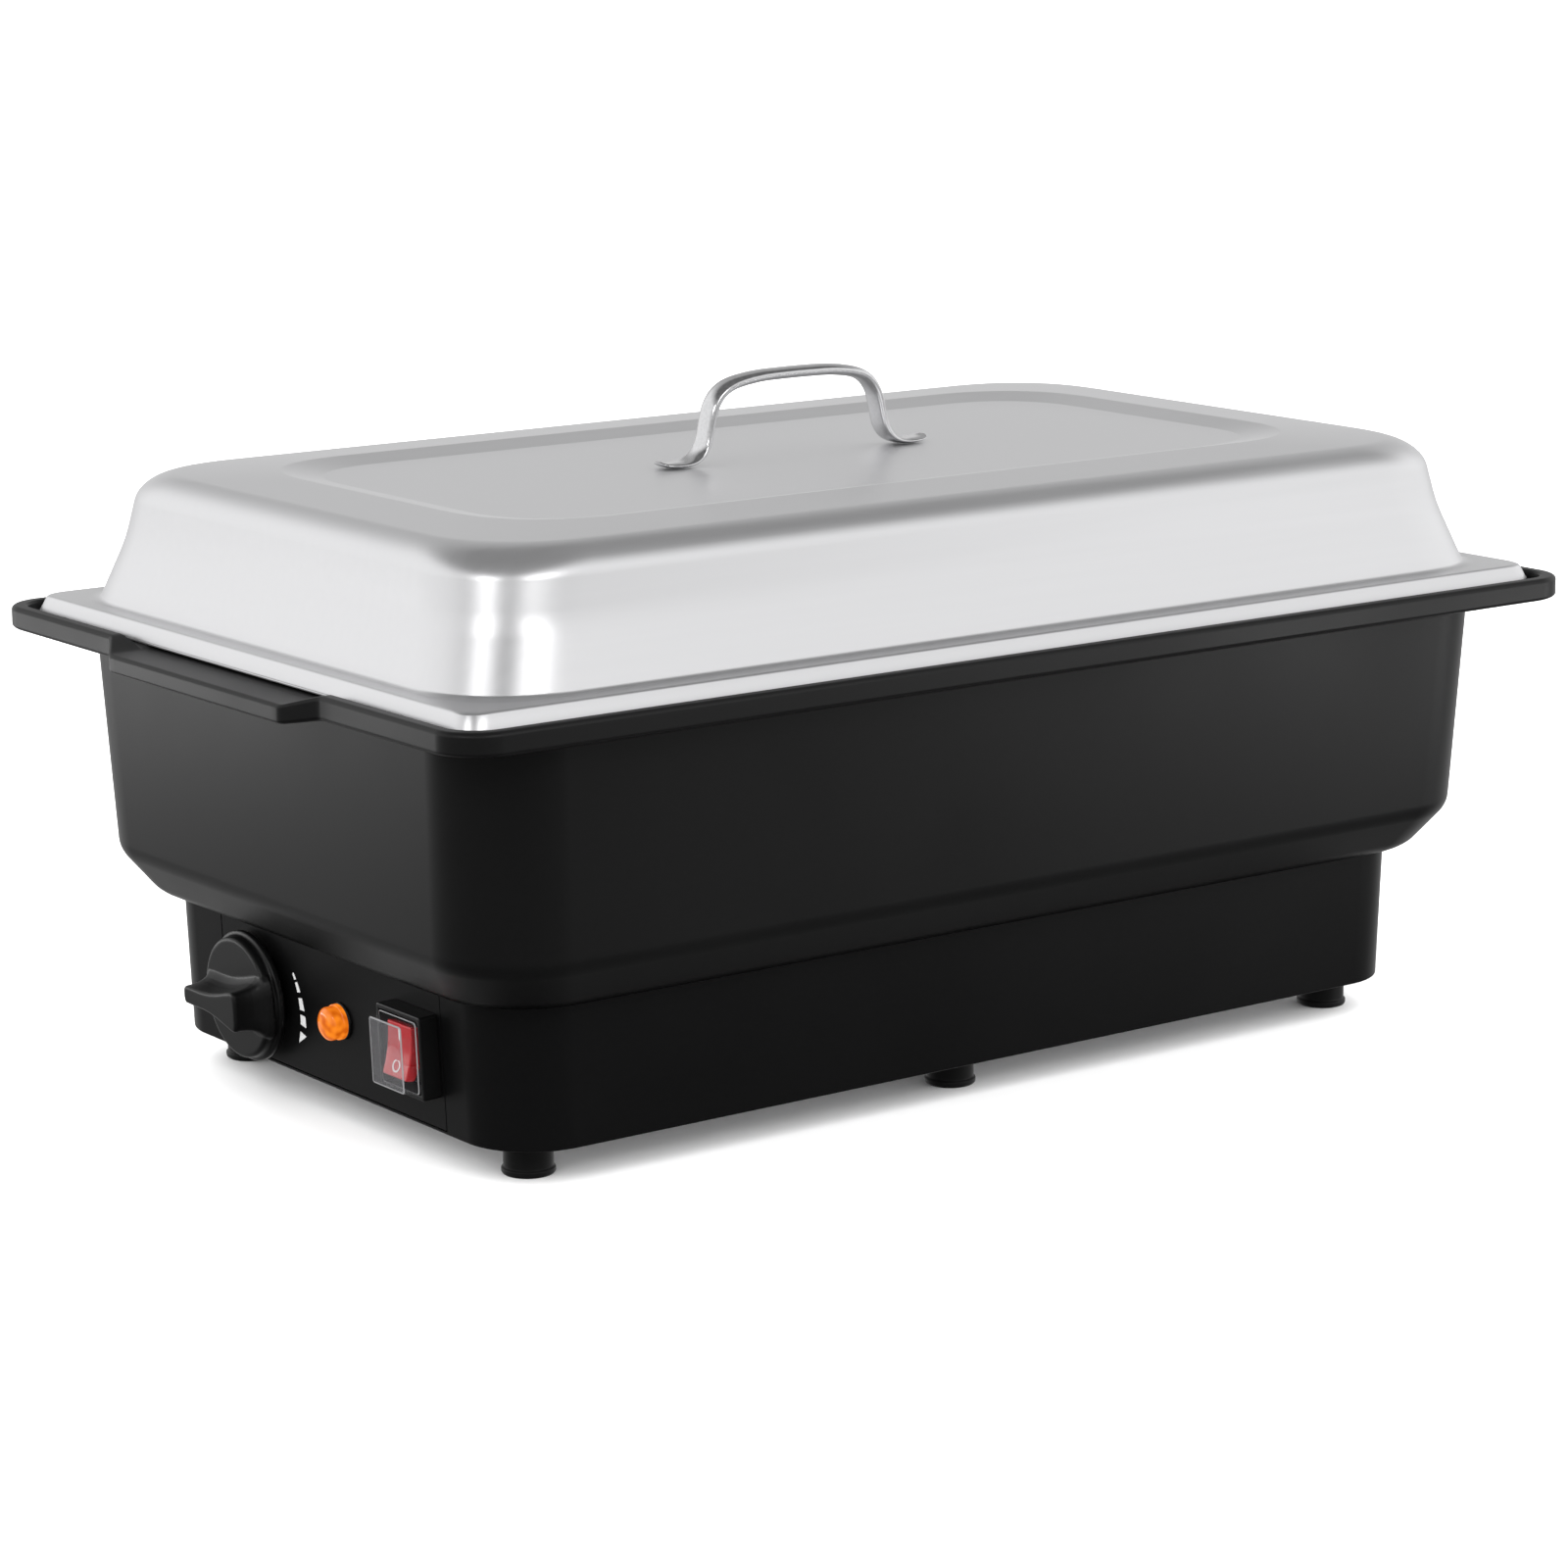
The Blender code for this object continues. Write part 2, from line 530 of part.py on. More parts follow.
bm = bmesh.new()
outer = [switch_ring(13.3, 14.2, 1.4, -0.5), switch_ring(13.0, 14.1, 1.4, -8.0),
         switch_ring(11.6, 13.5, 1.6, -13.3), switch_ring(11.0, 12.9, 1.4, -13.9)]
inner = [switch_ring(10.4, 12.3, 1.0, -12.9), switch_ring(12.0, 13.1, 1.0, -8.0),
         switch_ring(12.3, 13.2, 1.0, -0.5)]
add_loft(bm, inner + outer)
finish("switch_boot", bm, "clear", panel_frame)

bm = bmesh.new()
add_box(bm, (-0.6, SY - 11.0, SZ - 13.0), (24.0, SY + 11.0, SZ + 13.0))
finish("switch_body", bm, "black_gloss", panel_frame, smooth=False)

# Rocker tips about a pin across it: its upper end is pressed in at rest
PIVOT_X = -4.0
face = [(-5.5, 10.5), (-4.7, 5.0), (-4.5, 0.0), (-4.7, -5.0), (-5.5, -10.5), (-2.0, -10.5), (0.4, -3.5),
        (0.4, 3.5), (-2.0, 10.5)]
rocker_axis = bpy.data.objects.new("rocker_axis", None)
rocker_axis.location = Vector((PIVOT_X, SY, SZ)) * MM
rocker_axis.parent = panel_frame
bpy.context.scene.collection.objects.link(rocker_axis)
bm = bmesh.new()
add_prism(bm, face, -8.5, 8.5, "Y")
rocker = finish("switch_rocker", bm, "red_plastic", rocker_axis, smooth=False)
rocker.rotation_euler = (0.0, ROCKER_HALF_ANGLE, 0.0)

# ------------------------------------------- cable gland, terminal block, leads
lathe("gland_body", "black_plastic",
      [(4.2, -13.0), (5.9, -13.0), (5.9, 0.7), (9.5, 0.7), (9.5, 4.0), (8.6, 5.2), (7.2, 6.0),
       (6.0, 20.0), (5.4, 20.6), (4.2, 20.6)],
      axis="Y", at=GLAND, seg=20, loop=True)
nut("gland_nut", "black_plastic", 10.0, 6.4, -8.0, -3.8, axis="Y", sides=8, at=GLAND)

BLOCK = (-150.0, -70.0, 17.0)
bm = bmesh.new()
add_box(bm, (-9.0, -25.0, 0.0), (9.0, 25.0, 14.0))
block = finish("terminal_block", bm, "cream_plastic", at=BLOCK, smooth=False)
bm = bmesh.new()
for k in range(4):
    y = BLOCK[1] - 18.0 + 12.0 * k
    for sx in (-1, 1):
        add_lathe(bm, [(2.0, 25.0), (2.0, 35.0)], centre=(BLOCK[0] + 4.8 * sx, y, 0.0), seg=8)
combine(block, bm, "DIFFERENCE")

LEADS = {
    "wire_switch_in": ("wire_red", [(-160.6, -88, 24), (-168, -88, 26), (-180, -82, 36), (-192, -74, 44),
                                    (-205.4, -73, 46)]),
    "wire_switch_out": ("wire_red", [(-160.6, -76, 24), (-168, -70, 25), (-180, -62, 32), (-192, -60, 40),
                                     (-205.4, -63, 43)]),
    "wire_lamp": ("wire_blue", [(-160.6, -64, 24), (-168, -52, 25), (-184, -26, 34), (-196, -14, 41),
                                (-207.4, -12.5, 44)]),
    "wire_element_live": ("wire_red", [(-139.4, -76, 24), (-130, -76, 25), (-110, -60, 36), (-90, -34, 48),
                                       (-76, -26, 52), (-72, -24, 56.8)]),
    "wire_element_neutral": ("wire_blue", [(-139.4, -52, 24), (-128, -48, 25), (-106, -18, 34), (-88, 12, 46),
                                           (-76, 22, 52), (-72, 24, 56.8)]),
}
for name, (mat, points) in LEADS.items():
    bm = bmesh.new()
    path = smooth_path(points, 3)
    add_sweep(bm, path, [1.3] * len(path), seg=6)
    finish(name, bm, mat)

# ------------------------------------------------------------------- food pan
PAN_OUTER = [
    (44.0, 122.3, 24), (36.0, 122.8, 27), (30.5, 125.4, 30), (27.6, 130.0, 32), (26.2, 137.0, 34),
    (21.5, 168.0, 38), (20.0, 170.0, 39), (18.7, 183.0, 41), (17.6, 185.6, 42), (15.2, 186.4, 42),
    (1.0, 186.4, 14), (0.2, 186.2, 13), (0.0, 186.6, 13), (0.4, PAN_RIM_Z, 13),
]
PAN_INNER = [
    (14.6, PAN_RIM_Z, 42), (17.8, 186.5, 42), (19.6, 183.5, 41), (20.9, 170.4, 40), (22.4, 168.3, 39),
    (27.1, 137.2, 33), (28.5, 130.3, 31), (31.2, 126.1, 29), (36.4, 123.7, 26), (44.0, 123.2, 23),
]
bm = bmesh.new()
add_loft(bm, inset_rings(PAN_RIM_HALF, PAN_OUTER + PAN_INNER))
finish("food_pan", bm, "brushed_steel")

# ------------------------------------------------------------------------ lid
LID_OUTER = [
    (75.5, LID_PANEL_Z, 36), (61.5, LID_CROWN_Z, 44), (40.0, 246.9, 42), (34.0, 246.0, 41),
    (28.5, 243.4, 39), (24.0, 239.2, 38), (21.1, 234.0, 37), (19.3, 228.0, 37), (16.9, 218.0, 37),
    (13.8, 208.0, 37), (11.2, 201.0, 37), (10.0, 197.4, 37), (8.8, 195.0, 37), (6.8, 193.9, 36),
    (1.0, LID_FLANGE_Z, 9), (0.0, 192.9, 9), (-1.2, 190.4, 10), (-2.6, LID_SKIRT_Z, 11),
]
LID_INNER = [
    (-1.7, LID_SKIRT_Z, 10), (-0.3, 190.2, 9), (0.8, 192.4, 8), (1.6, 192.9, 8), (7.2, 193.0, 35),
    (9.6, 194.5, 36), (10.9, 197.2, 36), (12.1, 200.8, 36), (14.7, 207.8, 36), (17.8, 217.8, 36),
    (20.2, 227.8, 36), (22.0, 233.6, 36), (24.8, 238.6, 37), (29.0, 242.6, 38), (34.3, 245.1, 40),
    (40.0, 246.0, 41), (61.5, 247.1, 43), (75.5, LID_PANEL_Z - SHEET, 35),
]
bm = bmesh.new()
add_loft(bm, inset_rings(LID_HALF, LID_OUTER + LID_INNER))
lid = finish("lid", bm, "brushed_steel")
PAD_X = 58.0
bm = bmesh.new()
for s in (-1, 1):
    add_lathe(bm, [(2.8, 240.0), (2.8, 250.0)], centre=(s * PAD_X, 0.0, 0.0), seg=12)
combine(lid, bm, "DIFFERENCE")

# Bow handle: flat pads turning up into an oval strap; rows are x, z, width, thickness
HANDLE = [
    (68.0, 248.5, 4.5, 1.1), (66.8, 247.6, 8.5, 1.6), (63.6, 247.0, 11.8, 1.9), (57.0, 246.9, 12.6, 2.2),
    (52.0, 247.9, 12.0, 2.7), (48.2, 250.4, 11.3, 3.3), (45.6, 254.8, 10.8, 3.8), (44.0, 260.3, 10.4, 4.0),
    (42.6, 266.4, 10.4, 4.3), (39.4, 272.6, 10.5, 4.5), (32.5, 277.2, 10.8, 4.7), (19.5, 279.6, 11.0, 4.8),
    (7.0, 280.1, 11.0, 4.8),
]
rows = HANDLE + [(-x, z, w, t) for x, z, w, t in reversed(HANDLE)]
bm = bmesh.new()
rings = []
for i, (x, z, w, t) in enumerate(rows):
    ax, az = rows[max(i - 1, 0)][:2]
    bx, bz = rows[min(i + 1, len(rows) - 1)][:2]
    tangent = Vector((bx - ax, 0.0, bz - az)).normalized()
    normal = Vector((-tangent.z, 0.0, tangent.x))
    ring = []
    for k in range(12):
        a = 2 * math.pi * k / 12
        ring.append(Vector((x, w / 2 * math.cos(a), z)) + normal * (t / 2 * math.sin(a)))
    rings.append(ring)
add_loft(bm, rings)
handle = finish("lid_handle", bm, "polished_steel")
bm = bmesh.new()
for s in (-1, 1):
    add_lathe(bm, [(2.4, 238.4), (2.4, 247.0)], centre=(s * PAD_X, 0.0, 0.0), seg=10)
combine(handle, bm, "UNION")

for tag, s in (("left", -1), ("right", 1)):
    lathe("handle_washer_" + tag, "zinc_steel", [(2.8, 243.3), (7.0, 243.3), (7.0, 244.3), (2.8, 244.3)],
          at=(s * PAD_X, 0.0, 0.0), seg=16, loop=True)
    nut("handle_nut_" + tag, "zinc_steel", 4.6, 2.8, 239.2, 243.0, at=(s * PAD_X, 0.0, 0.0))
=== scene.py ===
"""Looks of the steam table unit: satin steel lid and pan, moulded black tub and base, controls.

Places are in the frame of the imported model, in metres; the mesh helpers take millimetres and
`finish_piece` scales them.
"""
import json
import math

import bmesh
import bpy
from mathutils import Matrix, Vector


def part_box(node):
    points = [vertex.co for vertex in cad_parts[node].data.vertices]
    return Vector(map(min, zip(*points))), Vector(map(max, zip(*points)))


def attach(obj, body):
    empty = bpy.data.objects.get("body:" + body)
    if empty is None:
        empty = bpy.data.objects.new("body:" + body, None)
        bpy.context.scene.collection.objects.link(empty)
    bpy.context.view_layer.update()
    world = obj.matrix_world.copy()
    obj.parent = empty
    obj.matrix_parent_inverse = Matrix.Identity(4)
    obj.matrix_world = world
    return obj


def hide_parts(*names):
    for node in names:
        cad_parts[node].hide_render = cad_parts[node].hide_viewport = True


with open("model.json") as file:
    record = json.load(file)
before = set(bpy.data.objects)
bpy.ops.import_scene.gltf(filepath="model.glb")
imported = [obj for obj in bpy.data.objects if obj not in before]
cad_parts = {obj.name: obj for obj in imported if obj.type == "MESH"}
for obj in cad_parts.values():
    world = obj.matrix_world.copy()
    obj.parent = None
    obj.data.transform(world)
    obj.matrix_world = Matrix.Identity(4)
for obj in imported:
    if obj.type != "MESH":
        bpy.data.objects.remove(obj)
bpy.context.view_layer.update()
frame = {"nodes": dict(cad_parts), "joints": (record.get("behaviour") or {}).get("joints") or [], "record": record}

NODES = frame["nodes"]
MM = 0.001
CORNER_STEPS = 20
SHARP_ANGLE = 38.0

# Half sizes of the shells in X and Y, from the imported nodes
LID_HALF = (265.0, 162.5)
PAN_HALF = (267.2, 164.7)
TUB_HALF = (277.3, 177.4)
BASE_LOW = (229.5, 130.5)
BASE_TOP = (231.9, 130.9)
SHEET = 0.9

# The control panel's own frame: x runs into the base, y along the panel, z up its face
KNOB_JOINT = next(j for j in frame["joints"] if j["name"] == "knob_turn")
ROCKER_JOINT = next(j for j in frame["joints"] if j["name"] == "rocker_tilt")
KNOB_YZ = (52.0, -0.7)
LAMP_YZ = (-12.5, 1.4)
SWITCH_YZ = (-68.2, 2.6)
PANEL_Y = (-86.0, 79.0)
PANEL_Z = (-26.7, 28.2)
PANEL_TURN = Matrix.Rotation(-math.asin(KNOB_JOINT["axis"][2]), 4, "Y")
PANEL_ORIGIN = Vector(KNOB_JOINT["pos_m"]) - PANEL_TURN @ Vector((0.0, *KNOB_YZ)) * MM
PANEL = Matrix.Translation(PANEL_ORIGIN) @ PANEL_TURN


# ------------------------------------------------------------------ materials

def new_material(name, color, rough, metallic=0.0, **sockets):
    mat = bpy.data.materials.new(name)
    mat.use_nodes = True
    shader = mat.node_tree.nodes["Principled BSDF"]
    shader.inputs["Base Color"].default_value = (*color, 1.0)
    shader.inputs["Roughness"].default_value = rough
    shader.inputs["Metallic"].default_value = metallic
    for key, value in sockets.items():
        shader.inputs[key.replace("_", " ")].default_value = value
    return mat, mat.node_tree, shader


def add_noise(tree, scale, stretch=(1.0, 1.0, 1.0), detail=3.0):
    """Noise over object coordinates, with its cells per metre and its stretch."""
    coord = tree.nodes.new("ShaderNodeTexCoord")
    mapping = tree.nodes.new("ShaderNodeMapping")
    mapping.inputs["Scale"].default_value = stretch
    noise = tree.nodes.new("ShaderNodeTexNoise")
    noise.inputs["Scale"].default_value = scale
    noise.inputs["Detail"].default_value = detail
    tree.links.new(coord.outputs["Object"], mapping.inputs["Vector"])
    tree.links.new(mapping.outputs["Vector"], noise.inputs["Vector"])
    return noise.outputs["Fac"]


def remap(tree, value, low, high):
    node = tree.nodes.new("ShaderNodeMapRange")
    node.inputs["From Min"].default_value = 0.3
    node.inputs["From Max"].default_value = 0.7
    node.inputs["To Min"].default_value = low
    node.inputs["To Max"].default_value = high
    tree.links.new(value, node.inputs["Value"])
    return node.outputs["Result"]


def add_bump(tree, shader, height, strength, distance):
    bump = tree.nodes.new("ShaderNodeBump")
    bump.inputs["Strength"].default_value = strength
    bump.inputs["Distance"].default_value = distance
    tree.links.new(height, bump.inputs["Height"])
    tree.links.new(bump.outputs["Normal"], shader.inputs["Normal"])


def vary_color(tree, shader, value, dark, light):
    ramp = tree.nodes.new("ShaderNodeMix")
    ramp.data_type = "RGBA"
    ramp.inputs["A"].default_value = (*dark, 1.0)
    ramp.inputs["B"].default_value = (*light, 1.0)
    tree.links.new(value, ramp.inputs["Factor"])
    tree.links.new(ramp.outputs["Result"], shader.inputs["Base Color"])


def moulded(name, color, rough, grain=1500.0, strength=0.25, **sockets):
    """Moulded plastic: fine spark-eroded grain and a slow drift in gloss."""
    mat, tree, shader = new_material(name, color, rough, **sockets)
    fine = add_noise(tree, grain, detail=2.0)
    add_bump(tree, shader, fine, strength, 0.00004)
    slow = add_noise(tree, 9.0)
    tree.links.new(remap(tree, slow, rough - 0.03, rough + 0.04), shader.inputs["Roughness"])
    vary_color(tree, shader, slow, [0.88 * c for c in color], [1.12 * c for c in color])
    return mat


def brushed(name, color, rough, stretch):
    """Ground sheet metal: long fine scratches along one axis."""
    mat, tree, shader = new_material(name, color, rough, metallic=1.0)
    scratch = add_noise(tree, 1100.0, stretch, detail=2.0)
    add_bump(tree, shader, scratch, 0.3, 0.000006)
    band = add_noise(tree, 260.0, stretch, detail=4.0)
    tree.links.new(remap(tree, band, rough - 0.02, rough + 0.02), shader.inputs["Roughness"])
    vary_color(tree, shader, band, [0.975 * c for c in color], [min(1.0, 1.02 * c) for c in color])
    return mat


def cast_metal(name, color, rough):
    """Plated or drawn metal with faint mottling."""
    mat, tree, shader = new_material(name, color, rough, metallic=1.0)
    spots = add_noise(tree, 700.0)
    add_bump(tree, shader, spots, 0.15, 0.00003)
    tree.links.new(remap(tree, spots, rough - 0.05, rough + 0.08), shader.inputs["Roughness"])
    vary_color(tree, shader, spots, [0.85 * c for c in color], [min(1.0, 1.08 * c) for c in color])
    return mat


def glowing_lens(name):
    """Lit amber plastic, uneven as moulded facets make it."""
    mat, tree, shader = new_material(name, (0.06, 0.012, 0.001), 0.12, Emission_Strength=0.95)
    facets = add_noise(tree, 330.0, detail=0.0)
    ramp = tree.nodes.new("ShaderNodeMix")
    ramp.data_type = "RGBA"
    ramp.inputs["A"].default_value = (0.62, 0.11, 0.003, 1.0)
    ramp.inputs["B"].default_value = (1.0, 0.26, 0.014, 1.0)
    tree.links.new(remap(tree, facets, 0.0, 1.0), ramp.inputs["Factor"])
    tree.links.new(ramp.outputs["Result"], shader.inputs["Emission Color"])
    add_bump(tree, shader, facets, 0.25, 0.0004)
    return mat


def clear_cover(name, alpha):
    """Thin clear plastic with a faint haze."""
    mat, tree, shader = new_material(name, (0.25, 0.25, 0.26), 0.08, Alpha=alpha)
    haze = add_noise(tree, 500.0)
    tree.links.new(remap(tree, haze, 0.05, 0.12), shader.inputs["Roughness"])
    return mat


BLACK = (0.002, 0.002, 0.0021)
MATS = {
    "black_plastic": moulded("black_plastic", BLACK, 0.4, Specular_IOR_Level=0.25),
    "black_gloss": moulded("black_gloss", BLACK, 0.36, grain=2200.0, strength=0.12,
                           Specular_IOR_Level=0.3),
    "rubber": moulded("rubber", (0.002, 0.002, 0.002), 0.45, grain=900.0, strength=0.2,
                      Specular_IOR_Level=0.25),
    "brushed_steel": brushed("brushed_steel", (0.70, 0.70, 0.71), 0.35, (0.03, 1.0, 1.0)),
    "polished_steel": cast_metal("polished_steel", (0.66, 0.66, 0.67), 0.11),
    "zinc_steel": cast_metal("zinc_steel", (0.55, 0.55, 0.56), 0.38),
    "aluminium": brushed("aluminium", (0.72, 0.73, 0.74), 0.36, (1.0, 0.03, 1.0)),
    "copper": cast_metal("copper", (0.72, 0.42, 0.28), 0.3),
    "silicone": moulded("silicone", (0.42, 0.07, 0.05), 0.6, grain=800.0),
    "amber": glowing_lens("amber"),
    "red_plastic": moulded("red_plastic", (0.26, 0.003, 0.006), 0.25, grain=2000.0, strength=0.1),
    "clear": clear_cover("clear", 0.02),
    "cream_plastic": moulded("cream_plastic", (0.75, 0.72, 0.62), 0.5),
    "wire_red": moulded("wire_red", (0.5, 0.03, 0.02), 0.5),
    "wire_blue": moulded("wire_blue", (0.03, 0.08, 0.4), 0.5),
}
WINDOW = clear_cover("window", 0.09)
PRINT_WHITE = moulded("print_white", (0.46, 0.46, 0.46), 0.5, grain=1200.0, strength=0.1)
FROSTED = new_material("frosted_edge", (0.2, 0.2, 0.205), 0.3, Alpha=0.8)[0]
# Same black plastic with a weaker sheen, as painted shade: it darkens the base skirt and panel, which reflect the
# shadowed floor beneath them
SHADED_BLACK = moulded("black_painted_shade", BLACK, 0.36, Specular_IOR_Level=0.12)
FLOOR_WHITE = new_material("floor_white", (0.96, 0.96, 0.96), 0.9)[0]


# --------------------------------------------------------------- mesh helpers

def finish_piece(name, bm, body, slot, *nodes, matrix=None, sharp=SHARP_ANGLE,
                 weighted=True, mat=None):
    """Scale a millimetre bmesh into the frame and hang it on its body."""
    bmesh.ops.remove_doubles(bm, verts=bm.verts, dist=1e-4)
    bmesh.ops.recalc_face_normals(bm, faces=bm.faces)
    bm.transform((matrix or Matrix.Identity(4)) @ Matrix.Scale(MM, 4))
    mesh = bpy.data.meshes.new(name)
    bm.to_mesh(mesh)
    bm.free()
    mesh.polygons.foreach_set("use_smooth", [True] * len(mesh.polygons))
    mesh.set_sharp_from_angle(angle=math.radians(sharp))
    obj = bpy.data.objects.new(name, mesh)
    bpy.context.scene.collection.objects.link(obj)
    mesh.materials.append(mat or MATS[slot])
    if weighted:
        normals = obj.modifiers.new("weighted", "WEIGHTED_NORMAL")
        normals.keep_sharp = True
    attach(obj, body)
    if nodes:
        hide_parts(*nodes)
    return obj


def thicken(obj):
    """Give a pressed shell its sheet thickness, before its normals are weighted."""
    sheet = obj.modifiers.new("sheet", "SOLIDIFY")
    sheet.thickness = SHEET * MM
    sheet.offset = -1.0
    sheet.use_even_offset = True
    obj.modifiers.move(1, 0)


def rounded_ring(hx, hy, r, z, steps=CORNER_STEPS, end_cuts=(), power=2.0):
    """Rounded rectangle; a corner of power above 2 eases into the sides without a line.

    `end_cuts` adds points at those distances y along its two ends.
    """
    reach = hy - r
    shrink = min(1.0, reach / (max(end_cuts) + 8.0)) if end_cuts else 1.0
    cuts = [c * shrink for c in end_cuts]
    cuts = [-c for c in reversed(cuts)] + cuts
    points = []
    for k, (sx, sy) in enumerate(((1, 1), (-1, 1), (-1, -1), (1, -1))):
        for i in range(steps + 1):
            a = math.pi / 2 * (k + i / steps)
            c, s = [math.copysign(abs(v) ** (2 / power), v) for v in (math.cos(a), math.sin(a))]
            points.append(Vector((sx * (hx - r) + r * c, sy * (hy - r) + r * s, z)))
        if k == 1:
            points += [Vector((-hx, y, z)) for y in reversed(cuts)]
        if k == 3:
            points += [Vector((hx, y, z)) for y in cuts]
    return points


def filleted(rows, step=math.radians(8.0)):
    """Outline from (across, up, extra, fillet) rows with its corners turned into arcs."""
    out = []
    for i, row in enumerate(rows):
        corner = Vector(row[:3])
        fillet = row[3]
        if fillet == 0.0 or i in (0, len(rows) - 1):
            out.append(corner)
            continue
        before, after = Vector(rows[i - 1][:3]) - corner, Vector(rows[i + 1][:3]) - corner
        turn = math.pi - before.xy.angle(after.xy)
        reach = min(fillet * math.tan(turn / 2), 0.48 * before.xy.length, 0.48 * after.xy.length)
        start = corner + before * (reach / before.xy.length)
        end = corner + after * (reach / after.xy.length)
        count = max(2, math.ceil(turn / step))
        for k in range(count + 1):
            t = k / count
            w = (1 - t) ** 2, 2 * t * (1 - t) * math.cos(turn / 2), t * t
            out.append((start * w[0] + corner * w[1] + end * w[2]) / sum(w))
    return out


def add_loft(bm, rings, loop=False, caps=(True, True)):
    """Join rings of equal length; the two ends are capped, or met when `loop` is set."""
    rows = [[bm.verts.new(p) for p in ring] for ring in rings]
    count = len(rows[0])
    pairs = list(zip(rows, rows[1:])) + ([(rows[-1], rows[0])] if loop else [])
    for a, b in pairs:
        for i in range(count):
            j = (i + 1) % count
            bm.faces.new((a[i], a[j], b[j], b[i]))
    if not loop:
        for row, capped in ((rows[0], caps[0]), (rows[-1], caps[1])):
            if capped:
                bm.faces.new(row)


def shell_rings(half, rows, power=2.0):
    """Rings of a pressed shell from (inset, height, corner radius, fillet) rows."""
    return [rounded_ring(half[0] - p.x, half[1] - p.x, p.z, p.y, power=power)
            for p in filleted(rows)]


def add_lathe(bm, rows, axis="X", centre=(0.0, 0.0, 0.0), seg=48, loop=False):
    """Revolve (radius, height, fillet) rows about an axis through `centre`."""
    rings = []
    for p in filleted([(r, h, 0.0, f) for r, h, f in rows], math.radians(12.0)):
        ring = []
        for i in range(seg):
            c, s = p.x * math.cos(2 * math.pi * i / seg), p.x * math.sin(2 * math.pi * i / seg)
            offset = {"X": (p.y, c, s), "Y": (s, p.y, c), "Z": (c, s, p.y)}[axis]
            ring.append(Vector(centre) + Vector(offset))
        rings.append(ring)
    add_loft(bm, rings, loop)


def panel_ring(hy, hz, r, x, centre, steps=6):
    """Rounded rectangle parallel to the panel's face."""
    return [Vector((x, centre[0] + p.x, centre[1] + p.y))
            for p in rounded_ring(hy, hz, r, 0.0, steps)]


def add_panel_shell(bm, centre, rows, loop=False):
    """Loft over (half y, half z, corner radius, x) rows."""
    add_loft(bm, [panel_ring(hy, hz, r, x, centre) for hy, hz, r, x in rows], loop)


def cut(obj, bm):
    """Subtract a millimetre bmesh from a piece that already stands in the frame.

    The weighted normals are left out while the cut mesh is read back.
    """
    bmesh.ops.recalc_face_normals(bm, faces=bm.faces)
    bm.transform(Matrix.Scale(MM, 4))
    mesh = bpy.data.meshes.new(obj.name + "_cutter")
    bm.to_mesh(mesh)
    bm.free()
    cutter = bpy.data.objects.new(mesh.name, mesh)
    bpy.context.scene.collection.objects.link(cutter)
    mod = obj.modifiers.new("cut", "BOOLEAN")
    mod.operation = "DIFFERENCE"
    mod.solver = "EXACT"
    mod.object = cutter
    while obj.modifiers[0] != mod:
        obj.modifiers.move(len(obj.modifiers) - 1, 0)
    weighted = obj.modifiers.get("weighted")
    if weighted:
        weighted.show_viewport = False
    depsgraph = bpy.context.evaluated_depsgraph_get()
    shaped = bpy.data.meshes.new_from_object(obj.evaluated_get(depsgraph))
    if weighted:
        weighted.show_viewport = True
    obj.modifiers.remove(mod)
    obj.data = shaped
    bpy.data.objects.remove(cutter)


# ------------------------------------------------------------------------ lid

def make_lid():
    rows = [
        (-2.6, 187.6, 12, 0), (0.3, 193.8, 10, 1.4), (8.6, 193.8, 43, 2.5),
        (17.0, 219.0, 43, 60), (21.2, 245.8, 47, 14), (61.5, 248.0, 52, 6),
        (75.5, 245.5, 44, 6), (90.0, 245.5, 36, 0),
    ]
    bm = bmesh.new()
    add_loft(bm, shell_rings(LID_HALF, rows, power=2.5), caps=(False, True))
    thicken(finish_piece("lid_shell", bm, "lid", "brushed_steel", "lid"))


